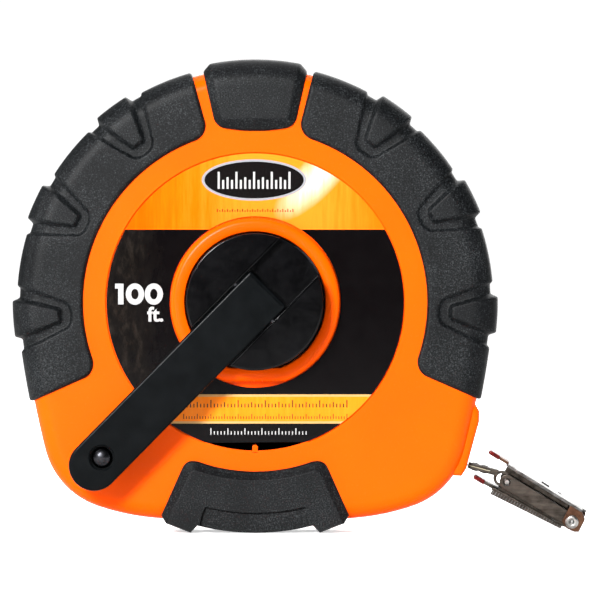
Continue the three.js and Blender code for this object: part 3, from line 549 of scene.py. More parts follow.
M = {
    "orange": orange_plastic(),
    "rubber": armour_rubber(),
    "hub": hub_plastic(),
    "arm": arm_plastic(),
    "inner": inner_plastic(),
    "steel": metal("bright_steel", (0.42, 0.41, 0.39), (0.16, 0.15, 0.14), 0.28),
    # Brighter copy of the hook's brushed plate: partly the nickel's own shine, partly a painted
    # highlight where the upper plate and ribs face the light
    "plate": metal("nickel_plate_and_painted_highlight", (0.19, 0.187, 0.182), (0.035, 0.032, 0.029), 0.26, (0.25, 1, 1),
                   (0, 31 * DEG, 0), 0.35),
    "cheek": metal("worn_plate", (0.075, 0.064, 0.054), (0.022, 0.018, 0.015), 0.4, (0.12, 1, 1),
                   (0, 31 * DEG, 0), 0.4),
    "copper": metal("copper_worn", (0.12, 0.06, 0.036), (0.035, 0.017, 0.011), 0.36),
    # Near-black metal: painted shade for the shadowed gaps under the upper plate and inside the lower
    # claw
    "shade": metal("painted_shade_metal", (0.05, 0.043, 0.036), (0.006, 0.005, 0.004), 0.3, size=0.7),
    "bronze": metal("bush_bronze", (0.55, 0.36, 0.16), (0.30, 0.18, 0.08), 0.4),
    "blade": blade_enamel(),
    "red": red_dip(),
    "rivet": metal("black_rivet", (0.05, 0.05, 0.055), (0.015, 0.015, 0.017), 0.2),
    "front_label": front_label_film(),
    "rear_label": rear_label_film(),
    "white_print": printed("white_print", (0.42, 0.42, 0.42)),
    "yellow_print": printed("yellow_print", (0.85, 0.20, 0.006)),
    "black_print": printed("black_print", (0.004, 0.003, 0.003)),
    "silver_print": printed("silver_print", (0.27, 0.27, 0.29)),
}


# ---- case
def outline_columns():
    """Places and outward normals round the case outline, counter-clockwise from the top."""
    half = []
    x, z, heading = 0.0, CASE_ARCS[0][0], 180.0
    half.append((x, z, 0.0, 1.0))
    for radius, turn in CASE_ARCS:
        count = max(2, round(turn * DEG * radius / COLUMN_STEP))
        bend = turn / count
        chord = 2 * radius * math.sin(bend * DEG / 2)
        for _ in range(count):
            x += chord * math.cos((heading + bend / 2) * DEG)
            z += chord * math.sin((heading + bend / 2) * DEG)
            heading += bend
            half.append((x, z, *polar(1, heading - 90)))
    mirrored = [(-x, z, -nx, nz) for x, z, nx, nz in half[1:-1][::-1]]
    return half + mirrored


COLUMNS = outline_columns()


def rim_radius(angles):
    """Distance of the case outline from the drum axis, at polar angles in degrees."""
    measured = np.array([math.atan2(z, x) / DEG % 360 for x, z, _, _ in COLUMNS])
    reach = np.array([math.hypot(x, z) for x, z, _, _ in COLUMNS])
    order = np.argsort(measured)
    return np.interp(np.asarray(angles) % 360, measured[order], reach[order], period=360)


def round_row(radius, y):
    if radius == 0:
        return [(0.0, y, 0.0)]
    row = []
    for x, z, _, _ in COLUMNS:
        scale = radius / math.hypot(x, z)
        row.append((x * scale, y, z * scale))
    return row


def rim_row(depth, y):
    """The outline moved inwards by depth."""
    return [(x - nx * depth, y, z - nz * depth) for x, z, nx, nz in COLUMNS]


def rim_rows(side, parting):
    """From the face over the rounded rim to the parting plane and back inside the wall."""
    y = FACE_Y - RIM_ROUNDING
    rows = [rim_row(RIM_ROUNDING + 0.8, side * FACE_Y)]
    for i in range(11):
        a = math.pi / 2 * i / 10
        rows.append(rim_row(RIM_ROUNDING * (1 - math.sin(a)),
                            side * (y + RIM_ROUNDING * math.cos(a))))
    chamfer = 0.2
    rows.append(rim_row(0, parting + side * chamfer))
    rows.append(rim_row(chamfer, parting))
    rows.append(rim_row(WALL, parting))
    rows.append(rim_row(WALL, side * y))
    rows.append(rim_row(WALL + 4, side * (FACE_Y - WALL)))
    return rows


NOSE = [(54, -31), (63.4, -27.3), (66.1, -32.2), (66.05, -35.2), (62.9, -46.6), (62.3, -48.9),
        (60.8, -51.3), (54.2, -50.9)]
NOSE_HALF = 9.0
NOSE_ROUNDING = 1.2
# Limits along x, y and z
MOUTH_GUIDE = (54.5, 61, -6.8, 6.8, -50.4, -45)
GUIDE_POCKET = (54.2, 61.3, -7.1, 7.1, -50.7, -44.7)
BLADE_SLOT = (49.5, FAR, -5.8, 5.8, -50.2, -46.4)


def shell_with_mouth(shell, nose):
    """The shell and its nose as one, with a pocket for the guide and a slot for the blade."""
    return cut(joined([shell, nose]), [box(*GUIDE_POCKET), box(*BLADE_SLOT)])


LABEL_EDGE = [(LABEL_RADIUS + GAP, LABEL_RECESS_Y), (LABEL_RADIUS + GAP, FACE_Y - 0.15),
              (LABEL_RADIUS + GAP + 0.15, FACE_Y), (LABEL_RADIUS + GAP + 0.8, FACE_Y)]


def front_shell():
    inner, outer, top = RING["inner"], RING["outer"], RING["top"]
    inside = FACE_Y - WALL
    ring = [(40, inside), (inner, inside), (inner, top - 0.9), (inner + 0.25, top - 0.28),
            (inner + 0.9, top), (outer - 1.7, top), (outer - 1.2, top - 0.08),
            (outer - 0.65, top - 0.35), (outer - 0.25, top - 0.8), (outer, top - 1.5),
            (outer, LABEL_RECESS_Y), *LABEL_EDGE]
    rows = [round_row(radius, -y) for radius, y in ring]
    parting = PARTING_Y - GAP / 2
    rows += rim_rows(-1, parting)
    nose = slab(NOSE, -NOSE_HALF, parting - 0.02, NOSE_ROUNDING, 0.2)
    return shell_with_mouth(rows_to_solid(rows, True), nose)


def rear_shell():
    inside = FACE_Y - WALL
    face = [(0, LABEL_RECESS_Y), (LABEL_RADIUS - 1, LABEL_RECESS_Y), *LABEL_EDGE]
    rows = [round_row(radius, y) for radius, y in face]
    parting = PARTING_Y + GAP / 2
    rows += rim_rows(1, parting)
    rows += [round_row(40, inside), round_row(0, inside)]
    nose = slab(NOSE, parting + 0.02, NOSE_HALF, 0.2, NOSE_ROUNDING)
    body = shell_with_mouth(rows_to_solid(rows, False), nose)
    wells = []
    for place in SCREW_PLACES:
        x, z = polar(*place)
        wells += [rod(3.5, 8.3, 20, 48, x, z), rod(1.9, 0, 9, 24, x, z)]
    return cut(body, wells)


def screw_head(x, z):
    seat, top = 8.6, 10.8
    head = lathe([(0, -2), (1.6, -2), (1.6, seat), (3.1, seat), (3.2, seat + 0.15),
                  (3.2, seat + 1.1), (3.0, seat + 1.5), (2.4, seat + 1.95), (1.4, top - 0.05),
                  (0, top)], 48, x, z)
    bars = [box(x - 1.9, x + 1.9, top - 1.1, 20, z - 0.42, z + 0.42),
            box(x - 0.42, x + 0.42, top - 1.1, 20, z - 1.9, z + 1.9)]
    return bevelled(cut(head, bars), 0.08, 1)


def add_case():
    for half, shell in (("front", front_shell()), ("rear", rear_shell())):
        add_piece(f"{half}_case_look", shell, M["orange"], "case", [f"{half}_case_shell"])
    for i, place in enumerate(SCREW_PLACES):
        add_piece(f"case_screw_look_{i + 1}", screw_head(*polar(*place)), M["steel"], "case",
                  [f"case_screw_{i + 1}"])
    guide = box(*MOUTH_GUIDE)
    lips = raised([(54, TAIL_Z - 1.8), (56.5, TAIL_Z - 0.9), (62, TAIL_Z - 0.9),
                   (62, TAIL_Z + 0.9), (56.5, TAIL_Z + 0.9), (54, TAIL_Z + 1.8)],
                  [(-5.25, 0), (5.25, 0)])
    add_piece("mouth_guide_look", bevelled(cut(guide, [lips]), 0.25), M["inner"], "case",
              ["mouth_guide"])


# ---- rubber armour
RIGHT_LUGS = [54.0, 26.0, -3.0]
LEFT_LUGS = [126.5, 155.5, 184.0]
CASE_RIM = 69.0
GROOVE_FLOOR = 0.45
RUBBER_SINK = 0.08            # how far the inner side lies in the case
FINE = 0.3                    # spacing of rows and columns round the lugs
RIM_DEGREE = CASE_RIM * DEG   # length of one degree along the rim
# Outlines about a lug's own direction: where they start, and their half width there and at the rim
LUG = {"tip": 57.0, "tip_half": 2.6, "rim_half": 6.5, "corner": 1.5}
GROOVE = {"tip": 54.0, "tip_half": 4.6, "rim_half": 10.7, "corner": 4.0}


def outline_distance(shape, radius, across):
    """Signed distance to a lug's or groove's outline, negative inside. It widens to the rim."""
    corner = shape["corner"]
    widen = (shape["rim_half"] - shape["tip_half"]) / (CASE_RIM - shape["tip"])
    side = np.abs(across)
    inner = shape["tip"] + corner
    half = shape["tip_half"] - corner + widen * (radius - inner)
    flank = (side - half) / math.hypot(1, widen)
    tip = inner - radius
    beyond = np.hypot(np.maximum(side - shape["tip_half"] + corner, 0), np.maximum(tip, 0))
    return np.where(tip > 0, beyond, np.maximum(flank, tip)) - corner


def quarter(distance, radius):
    """Height, 0 to 1, of a rounded edge at a distance from it."""
    t = np.clip(distance / radius, 0, 1)
    return np.sqrt(np.clip(1 - (1 - t) ** 2, 0, 1))


def lug_rise(lean):
    """A lug's full height; lean is 0 on the face and 1 on the rim."""
    return LUG_RISE_AXIAL + (LUG_RISE_RADIAL - LUG_RISE_AXIAL) * lean


def grip_height(at, lugs):
    """Thickness of a grip: its field, the grooves in it and the lugs that rise in them."""
    radius = np.minimum(at.radius, CASE_RIM)
    rise = lug_rise(at.lean)
    to_lug = np.full(radius.shape, FAR)
    to_groove = np.full(radius.shape, FAR)
    for lug in lugs:
        across = radius * np.sin((at.angle - lug) * DEG)
        to_lug = np.minimum(to_lug, outline_distance(LUG, radius, across))
        to_groove = np.minimum(to_groove, outline_distance(GROOVE, radius, across))
    up = np.interp(to_lug, [-1.35, -1.1, -0.85, -0.2, 0.05, 0.4], [1, 0.98, 0.88, 0.14, 0.03, 0])
    out = np.interp(to_groove, [-0.8, -0.55, -0.35, 0.1, 0.3, 0.5], [0, 0.03, 0.14, 0.86, 0.97, 1])
    height = GROOVE_FLOOR + (rise - GROOVE_FLOOR) * up + (RUBBER_FIELD - GROOVE_FLOOR) * out
    return height * quarter(at.edge, 0.9)


def block_height(at):
    """Thickness of the top lug: a skirt, then a slope up to its field."""
    rise = lug_rise(at.lean)
    slope = np.minimum(at.from_side / 2.5, at.from_inner / 3.7)
    step = 0.9
    climb = np.interp(slope, [0.12, 0.9, 1.0, 1.08], [0, 0.92, 0.99, 1])
    return step * quarter(at.edge, 0.5) + (rise - step) * climb


def spaced(dense, start, end, gap):
    """The dense places between start and end, with the wide gaps between them filled."""
    places = sorted({round(p, 4) for p in dense if start <= p <= end} | {start, end})
    filled = [places[0]]
    for place in places[1:]:
        count = max(1, math.ceil((place - filled[-1]) / gap))
        first = filled[-1]
        filled += [first + (place - first) * (k + 1) / count for k in range(count)]
    return filled


def rubber_columns(start, end, lugs):
    """Polar angles of the columns, close together at both ends and round the lugs."""
    ends = [0, 0.1, 0.25, 0.5, 0.8, 1.2, 1.7, 2.3, 3.0, 3.6]
    dense = [start + e / RIM_DEGREE for e in ends] + [end - e / RIM_DEGREE for e in ends]
    reach = 13.0
    count = int(2 * reach / FINE)
    for lug in lugs:
        dense += [lug + (-reach + 2 * reach * k / count) / RIM_DEGREE for k in range(count + 1)]
    return np.array(spaced(dense, start, end, 1.6 / RIM_DEGREE))


def rubber_rows(inner, rim, parting):
    """Radius, y and lean of every row, from the inner edge over the rim to the parting plane."""
    near = [0, 0.1, 0.25, 0.5, 0.8, 1.2, 1.7, 2.2, 2.7] + [3.1 + FINE * k for k in range(27)]
    rows = [(inner + depth, FACE_Y, 0) for depth in near]
    last = inner + near[-1]
    rows += [(last + (rim - RIM_ROUNDING - last) * k / 3, FACE_Y, 0) for k in (1, 2, 3)]
    for k in range(1, 9):
        a = math.pi / 2 * k / 8
        rows.append((rim - RIM_ROUNDING * (1 - math.sin(a)),
                     FACE_Y - RIM_ROUNDING * (1 - math.cos(a)), math.sin(a)))
    for t in (0.2, 0.4, 0.6, 0.8, 0.93, 0.98, 1.0):
        rows.append((rim, FACE_Y - RIM_ROUNDING + (parting - FACE_Y + RIM_ROUNDING) * t, 1))
    return [np.array([np.broadcast_to(row[i], rim.shape) for row in rows], dtype=float)
            for i in range(3)]


def closed_sheet(outside, inside):
    """Two grids of points, one over the other, joined round their borders into a solid."""
    row_count, column_count = outside.shape[:2]
    index = np.arange(row_count * column_count).reshape(row_count, column_count)
    faces = []
    for i in range(row_count - 1):
        for j in range(column_count - 1):
            quad = [index[i, j], index[i, j + 1], index[i + 1, j + 1], index[i + 1, j]]
            faces.append([int(v) for v in quad])
            faces.append([int(v) + index.size for v in quad[::-1]])
    border = [*index[0, :], *index[1:, -1], *index[-1, -2::-1], *index[-2:0:-1, 0]]
    for a, b in zip(border, border[1:] + border[:1]):
        faces.append([int(b), int(a), int(a) + index.size, int(b) + index.size])
    vertices = np.concatenate([outside.reshape(-1, 3), inside.reshape(-1, 3)])
    return [tuple(v) for v in vertices.tolist()], faces


def rubber_solid(side, start, end, corner, inner_edge, height, lugs=()):
    """One half, front or rear, of a rubber moulding that wraps over the rim.

    start and end are polar angles of its straight ends; inner_edge gives the radius of its inner
    edge at an angle; height gives its thickness. Rows run from the inner edge to the parting
    plane and columns from start to end."""
    angles = rubber_columns(start, end, lugs)
    rim = rim_radius(angles)
    inner = np.array([inner_edge(a) for a in angles])
    parting = side * PARTING_Y + GAP / 2       # along this half's own outward Y
    radius, depth_y, lean = rubber_rows(inner, rim, parting)

    # Columns near the ends turn inwards with depth, to follow the rounded corners
    inner_distance = radius - inner[None, :] + (FACE_Y - depth_y)
    share = ((angles - start) / (end - start))[None, :]
    short = corner - np.minimum(inner_distance, corner)
    tuck = corner - np.sqrt(np.clip(corner ** 2 - short ** 2, 0, None))
    width = (end - start) * RIM_DEGREE
    blend = np.clip(1 - np.minimum(share, 1 - share) * width / (3 * corner), 0, 1)
    lead = np.where(share < 0.5, 1.0, -1.0)
    angle = angles[None, :] + lead * (tuck / (radius * DEG)) * blend

    side_distance = np.minimum(angle - start, end - angle) * radius * DEG
    in_corner = (side_distance < corner) & (inner_distance < corner)
    edge = np.where(in_corner,
                    corner - np.hypot(corner - side_distance, corner - inner_distance),
                    np.minimum(side_distance, inner_distance))
    thick = height(SimpleNamespace(radius=radius, lean=lean, angle=angle,
                                   edge=np.clip(edge, 0, None), from_side=side_distance,
                                   from_inner=inner_distance))
    thick[-1, :] = thick[-1, :] - np.minimum(0.2, thick[-1, :] * 0.5)

    def grid(lift):
        out = radius + lift * lean
        y = side * (depth_y + lift * np.sqrt(1 - lean ** 2))
        return np.stack([out * np.cos(angle * DEG), y, out * np.sin(angle * DEG)], axis=-1)

    return closed_sheet(grid(thick), grid(-RUBBER_SINK))


def grip(side, start, end, lugs):
    return rubber_solid(side, start, end, 4.5, lambda angle: RUBBER_INNER,
                        lambda at: grip_height(at, lugs), lugs)


TOP_LUG_FOOT_Z = 50.3
TOP_LUG_HALF = 12.75          # in degrees


def top_lug(side):
    return rubber_solid(side, 90 - TOP_LUG_HALF, 90 + TOP_LUG_HALF, 4.0,
                        lambda angle: TOP_LUG_FOOT_Z / math.sin(angle * DEG), block_height)


def screw_well(place):
    return rod(4.1, 4, 30, 48, *polar(*place))


def case_block(grow):
    """The whole case as one solid, for cutting the rubber to its surface."""
    rows = []
    for side in (-1, 1):
        part = []
        for i in range(9):
            a = math.pi / 2 * i / 8
            depth = RIM_ROUNDING * (1 - math.sin(a)) - grow
            part.append(rim_row(depth, side * (FACE_Y + grow - RIM_ROUNDING * (1 - math.cos(a)))))
        rows += part if side < 0 else part[::-1]
    return rows_to_solid(rows, False)


PAD_Y = 14.0


def pad_outline(middle_radius, foot, corner, top_radius, top_half_angle):
    """A symmetric outline: middle of the bottom, left foot and corner, top, then the right side."""
    left = [*foot, *corner]
    right = [(-x, z) for x, z in left[::-1]]
    top = arc(top_radius, 270 - top_half_angle, 270 + top_half_angle, 20)
    return arc(middle_radius, 282, 258, 12) + left + top + right


def base_pad(side):
    """A skirt, a long bevel that narrows towards the feet, and a raised field with a recess."""
    outer = pad_outline(67.9, [(-17.0, -65.75), (-19.0, -67.85), (-26.2, -65.1), (-27.6, -62.7)],
                        [(-21.6, -49.2), (-21.05, -48.1), (-20.3, -47.3), (-19.3, -46.8),
                         (-18.2, -46.7)], 49.8, 19.8)
    field = pad_outline(67.6, [(-17.1, -65.4), (-19.05, -67.45), (-25.75, -64.85),
                               (-25.2, -63.2)],
                        [(-19.7, -51.5), (-19.35, -50.5), (-18.75, -49.8), (-17.9, -49.45),
                         (-17.2, -49.4)], 52.4, 18.4)
    profile = [(PAD_Y, 1.12), (PAD_Y, 1.04), (PAD_Y - 0.07, 0.98), (PAD_Y - 0.3, 0.86),
               (PAD_Y - 1.0, 0.2), (PAD_Y - 1.1, 0.12), (PAD_Y - 1.35, 0.03), (PAD_Y - 1.8, 0.0),
               (side * PARTING_Y + GAP / 2, 0.0)]
    rows = []
    for y, share in profile:
        rows.append([(a[0] + (b[0] - a[0]) * share, side * y, a[1] + (b[1] - a[1]) * share)
                     for a, b in zip(outer, field)])
    body = rows_to_solid(rows, False)
    edge = [(-17.4, -70), (-15.5, -61.9), (-15.0, -60.9)]
    recess_outline = edge + arc(61.9, 256.2, 283.8, 10) + [(-x, z) for x, z in edge[::-1]]
    y0, y1 = sorted((side * 12.5, side * 30))
    recess = slab(recess_outline, y0, y1, edge=0)
    tools = [recess, case_block(0.05)]
    if side > 0:
        tools.append(screw_well(SCREW_PLACES[3]))
    return cut(body, tools)


def add_rubber():
    spans = {"left_grip": (105.5, 204.0, LEFT_LUGS), "right_grip": (-23.5, 75.75, RIGHT_LUGS)}
    wells = {"left_grip": SCREW_PLACES[1], "right_grip": SCREW_PLACES[0]}
    for side, half in ((-1, "front"), (1, "rear")):
        for name, (start, end, lugs) in spans.items():
            solid = grip(side, start, end, lugs)
            if side > 0:
                solid = cut(solid, [screw_well(wells[name])])
            add_piece(f"{half}_{name}_look", solid, M["rubber"], "case", [f"{half}_{name}"],
                      sharp=50)
        add_piece(f"{half}_top_lug_look", top_lug(side), M["rubber"], "case",
                  [f"{half}_top_lug"], sharp=50)
        add_piece(f"{half}_base_pad_look", base_pad(side), M["rubber"], "case",
                  [f"{half}_base_pad"], sharp=28)


# ---- labels and print
PRINT = 0.03                  # thickness of printed marks


def flat_print(outline, side=-1):
    y = side * FACE_Y
    y0, y1 = sorted((y, y + side * PRINT))
    return raised(outline, [(y0, 0), (y1, 0)])


def tick(x, z, width, height, turn=0.0):
    """An upright mark with its foot at (x, z), turned about that point."""
    c, s = math.cos(turn * DEG), math.sin(turn * DEG)
    corners = [(-width / 2, 0), (width / 2, 0), (width / 2, height), (-width / 2, height)]
    return [(x + c * a - s * b, z + s * a + c * b) for a, b in corners]


def text_solid(words, height, x, z, weight):
    """Upright lettering on the front label. (x, z) is its lower right corner."""
    curve = bpy.data.curves.new("words", "FONT")
    curve.body = words
    curve.size = height
    curve.offset = weight
    curve.align_x = "RIGHT"
    curve.extrude = PRINT / 2
    curve.resolution_u = 4
    piece = linked("words", curve)
    graph = bpy.context.evaluated_depsgraph_get()
    mesh = bpy.data.meshes.new_from_object(piece.evaluated_get(graph))
    editor = bmesh.new()
    editor.from_mesh(mesh)
    bmesh.ops.remove_doubles(editor, verts=editor.verts, dist=1e-4)
    editor.to_mesh(mesh)
    editor.free()
    facing = (Matrix.Translation((x, -FACE_Y - PRINT / 2, z))
              @ Matrix.Rotation(math.pi / 2, 4, "X"))
    solid = ([tuple(facing @ v.co) for v in mesh.vertices],
             [list(p.vertices) for p in mesh.polygons])
    bpy.data.meshes.remove(mesh)
    bpy.data.curves.remove(curve)
    return solid


def ellipse(half_width, half_height, x, z, steps=72):
    turns = [2 * math.pi * i / steps for i in range(steps)]
    return [(x + half_width * math.cos(a), z + half_height * math.sin(a)) for a in turns]


def bold_hundred(x, z, height):
    """The number 100 in plain heavy figures, with its lower left corner at (x, z)."""
    unit = height / 6.1
    stem = [(0.0, 4.65), (0.0, 6.1), (2.5, 6.1), (2.5, 0.0), (0.9, 0.0), (0.9, 4.65)]
    solids = [flat_print([(x + a * unit, z + b * unit) for a, b in stem])]
    y0, y1 = -FACE_Y - PRINT, -FACE_Y
    for centre in (5.85, 11.4):
        cx, cz, rows = x + centre * unit, z + height / 2, []
        for wide, high, y in ((2.7, 3.15, y0), (1.08, 1.55, y0), (1.08, 1.55, y1), (2.7, 3.15, y1)):
            rows.append([(a, y, b) for a, b in ellipse(wide * unit, high * unit, cx, cz, 48)])
        solids.append(rows_to_solid(rows, True))
    return solids


BADGE = (-0.3, 35.9)


def scale_ticks(x0, x1, foot, pitch, heights, width):
    """A row of rule graduations; heights repeat along the row."""
    count = int((x1 - x0) / pitch)
    return [flat_print(tick(x0 + i * pitch, foot, width, heights[i % len(heights)]))
            for i in range(count + 1)]


def add_print(name, solid, ink, layer=0):
    """A printed mark on a label; layer counts the prints that lie under it."""
    lift = Matrix.Translation((0, -layer * PRINT, 0))
    add_piece(name, moved(solid, lift), M[ink], "case")


def rear_ring():
    """A hundred marks round the rear label, every tenth one long."""
    ring = []
    for i in range(100):
        radius, width, length = (36.0, 0.5, 4.5) if i % 10 == 0 else (38.0, 0.28, 2.5)
        turn = 3.6 * i
        ring.append(flat_print(tick(*polar(radius, 90 + turn), width, length, turn), 1))
    return gathered(ring)


def add_labels():
    inner = RING["outer"] + GAP
    front = lathe([(inner, -FACE_Y), (LABEL_RADIUS, -FACE_Y), (LABEL_RADIUS, -FACE_Y + LABEL_FILM),
                   (inner, -FACE_Y + LABEL_FILM)], 192)
    rear = rod(LABEL_RADIUS, FACE_Y - LABEL_FILM, FACE_Y, 192)
    for name, film in (("front_label", front), ("rear_label", rear)):
        add_piece(f"{name}_look", film, M[name], "case", [name])

    x, z = BADGE
    ruler = scale_ticks(x - 10.4, x + 10.4, z - 2.6, 1.3, [5.0, 2.6, 3.4, 2.6], 0.62)
    under = scale_ticks(x - 10.8, x + 11.4, z - 9.4, 0.74, [0.9, 0.5], 0.26)
    band = scale_ticks(-21.0, 27.0, -31.0, 1.0, [2.2, 1.1, 1.1, 1.1, 1.6, 1.1, 1.1, 1.1], 0.3)
    band += scale_ticks(-21.0, 27.0, -34.4, 0.8, [1.5, 0.8, 0.8, 0.8, 0.8], 0.22)
    lower = scale_ticks(-13.0, 15.0, -39.0, 1.0, [1.9, 1.0, 1.0, 1.0, 1.0], 0.3)
    add_print("badge_rim", flat_print(ellipse(15.4, 6.1, x, z)), "silver_print")
    add_print("badge_field", flat_print(ellipse(14.6, 5.4, x, z)), "black_print", 1)
    add_print("badge_ticks", gathered(ruler), "white_print", 2)
    add_print("badge_underline", gathered(under), "black_print")
    add_print("length_number", gathered(bold_hundred(-41.2, -0.7, 6.1)), "white_print")
    add_print("length_unit", text_solid("ft.", 5.9, -26.9, -5.6, 0.17), "white_print")
    add_print("band_graduations", gathered(band), "black_print")
    add_print("lower_graduations", gathered(lower), "white_print")
    add_print("rear_graduations", rear_ring(), "yellow_print")
    pip = slab(rounded([(-0.8, -44.3), (0.8, -44.3), (0.8, -42.0), (-0.8, -42.0)],
                       [0.01, 0.01, 0.7, 0.7]), -12.05, -11.25, 0.1)
    add_piece("label_pip", pip, M["orange"], "case")


# ---- crank
def along_z(solid):
    return moved(solid, Matrix.Rotation(math.pi / 2, 4, "X"))


def crank_hub():
    """A disc that carries two half-moon plates, with the arm's slot between them."""
    back, floor = HUB_BACK_Y, ARM_BACK_Y + GAP
    disc = lathe([(0, floor), (HUB_RADIUS - 1.5, floor), (HUB_RADIUS - 0.05, floor),
                  (HUB_RADIUS, floor + 0.05), (HUB_RADIUS, back), (17.5, back),
                  (17.5, back - 8), (0, back - 8)], 160)
    half = ARM_HALF + GAP + 0.1
    start = math.asin(half / HUB_RADIUS) / DEG
    moon = arc(HUB_RADIUS - 0.02, start, 180 - start, 64)
    moons = [slab(moon, HUB_FRONT_Y, floor + 0.4, 0.4, 0, steps=4),
             slab([(-x, -z) for x, z in moon], HUB_FRONT_Y, floor + 0.4, 0.4, 0, steps=4)]
    swing = 6.3
    pin = along_z(rod(CRANK_PIN_RADIUS, -16.3, 16.3, 32))
    holes = [box(-swing, swing, -FAR, ARM_MIDDLE_Y + swing, -half, half),
             moved(pin, Matrix.Translation((0, ARM_MIDDLE_Y, 0)))]
    hub = cut(joined([disc, *moons]), holes)
    return moved(hub, Matrix.Rotation(-ARM_ANGLE * DEG, 4, "Y"))


def crank_arm():
    end = arc(ARM_HALF, -90, 90, 40, ARM_REACH)
    tail = rounded([(0, ARM_HALF), (-ARM_TAIL, ARM_HALF), (-ARM_TAIL, -ARM_HALF), (0, -ARM_HALF)],
                   [0.01, 0.9, 0.9, 0.01])
    outline = end + tail[5:15]
    body = slab(outline, ARM_FRONT_Y, ARM_BACK_Y, 0.65, steps=4)
    rivet = lathe([(0, -40), (3.9, -40), (3.9, ARM_FRONT_Y), (3.5, ARM_FRONT_Y + 0.4),
                   (3.5, ARM_FRONT_Y + 2.2), (0, ARM_FRONT_Y + 2.2)], 64, KNOB_PLACE)
    shank = rod(KNOB_BORE, -40, 0, 32, KNOB_PLACE)
    pin = along_z(rod(CRANK_PIN_RADIUS, -20, 20, 32))
    return cut(body, [rivet, shank, moved(pin, Matrix.Translation((0, ARM_MIDDLE_Y, 0)))])


def crank_knob():
    top, foot = KNOB_TOP_Y, KNOB_BOTTOM_Y
    profile = [(KNOB_BORE, top), (5.0, top), (5.45, top + 0.25), (5.6, top + 0.7), (5.25, top + 1.5),
               (5.1, top + 2.4), (5.25, top + 3.6), (5.75, foot - 2.6), (6.0, foot - 1.9),
               (5.9, foot - 1.2), (5.5, foot - 0.45), (4.9, foot - 0.08), (4.4, foot),
               (3.6, foot), (3.4, foot - 0.2), (3.4, foot - 1.6), (KNOB_BORE, foot - 1.6)]
    return lathe(profile, 64, KNOB_PLACE)


def knob_rivet():
    seat = ARM_FRONT_Y + 1.9
    dome = [(3.1 * math.sin(a * DEG), seat - 1.7 * math.cos(a * DEG)) for a in range(15, 91, 15)]
    foot = KNOB_BOTTOM_Y - 1.3
    return lathe([(0, seat - 1.7), *dome, (1.75, seat), (1.75, foot), (2.8, foot),
                  (2.8, foot + 0.5), (2.5, foot + 0.8), (0, foot + 0.8)], 48, KNOB_PLACE)


def add_crank():
    add_piece("crank_hub_look", crank_hub(), M["hub"], "drum", ["crank_hub"])
    for node, solid, look, body, slot in (
            ("crank_arm", crank_arm(), "arm", "crank", "arm_plastic"),
            ("crank_knob", crank_knob(), "arm", "knob", "arm_plastic"),
            ("knob_rivet", knob_rivet(), "rivet", "crank", "steel")):
        add_piece(f"{node}_look", solid, M[look], body, [node], CRANK)


# ---- blade and end hook
def blade_marks():
    """Graduations painted along the blade's upper face, where it comes out of the case."""
    top = TAIL_Z + 0.125
    marks = []
    for i in range(38):
        x = 4 + i * 1.5
        length = 6.0 if i % 8 == 0 else (3.6 if i % 4 == 0 else 2.2)
        marks.append(box(x - 0.12, x + 0.12, -4.75, -4.75 + length, top, top + 0.02))
    return gathered(marks)


def tape_clip():
    half, sheet, end = 0.16, 0.75, 7.7
    pin_x, pin_z = HOOK_PIN
    leaf = rounded([(1, half), (end + 2.2, half), (end + 2.2, half + sheet), (1, half + sheet)],
                   0.2, 2)
    top = slab(leaf, -4.6, 4.6, 0.15)
    bottom = slab([(x, -z) for x, z in leaf], -4.6, 4.6, 0.15)
    web = slab([(end, -half - sheet), (end + 2.2, -half - sheet), (end + 2.2, half + sheet),
                (end, half + sheet)], -4.55, 4.55, 0.1)
    left = pin_x - 1.9

    def stadium(radius):
        return (arc(radius, -90, 90, 16, pin_x, pin_z) + arc(radius, 90, 270, 16, left, pin_z))

    eye = slab(stadium(2.3), -2.7, 2.7, 0.2)
    hole = slab(stadium(1.55), -THROUGH, THROUGH, 0)
    rivets = [moved(along_z(rod(0.9, -3, 3)), Matrix.Translation((x, 0, 0)))
              for x in CLIP_RIVETS]
    return cut(joined([top, bottom, web, eye]), [hole, *rivets])


def clip_rivet(x):
    seat = 0.93
    solid = along_z(lathe([(0, -seat - 0.3), (0.7, -seat - 0.25), (1.05, -seat - 0.14),
                           (1.2, -seat), (0.6, -seat), (0.6, seat), (1.2, seat),
                           (1.05, seat + 0.14), (0.7, seat + 0.25), (0, seat + 0.3)], 24))
    return moved(solid, Matrix.Translation((x, 0, 0)))


CHEEK = {"inner": 3.5, "outer": 4.2, "half": 2.2}
UPPER_EAR = (4.5, 5.3)
LOWER_EAR = (2.5, 3.2)
UPPER = {"side": 1, "near_pin": 4.2, "near_eyelet": 3.8, "half": 5.3}
LOWER = {"side": -1, "near_pin": 3.5, "near_eyelet": 2.6, "half": 4.2}
PLATE_START = -2.4
PRONG_START = -6.4


def eyelet_hole():
    return rod(1.5, -THROUGH, THROUGH, 32, EYELET_U)


def hook_body():
    inner, outer, half = CHEEK["inner"], CHEEK["outer"], CHEEK["half"]
    profile = arc(half, 90, 270, 16) + arc(half - 0.2, -90, 90, 16, EYELET_U)
    cheeks = both_sides(profile, inner, outer, 0.15)
    web = box(4, EYELET_U - 4, -inner - 0.1, inner + 0.1, -SHEET / 2, SHEET / 2)
    return cut(joined([*cheeks, web]), [rod(1.1, -THROUGH, THROUGH), eyelet_hole()])


def plate_height(claw, u):
    rise = claw["near_eyelet"] - claw["near_pin"]
    return claw["near_pin"] + rise * (u - PLATE_START) / (EYELET_U - PLATE_START)


def claw_strip(claw, u0, u1, y0, y1, edge=0.12):
    side = claw["side"]
    h0, h1 = plate_height(claw, u0), plate_height(claw, u1)
    outline = [(u0, side * h0), (u1, side * h1), (u1, side * (h1 + SHEET)),
               (u0, side * (h0 + SHEET))]
    return slab(outline, y0, y1, edge, steps=2)


def claw_ears(side, ear, outline):
    cheek = rounded([(EYELET_U + u, side * v) for u, v in outline], 0.45, 3)
    return both_sides(cheek, *ear, 0.12)


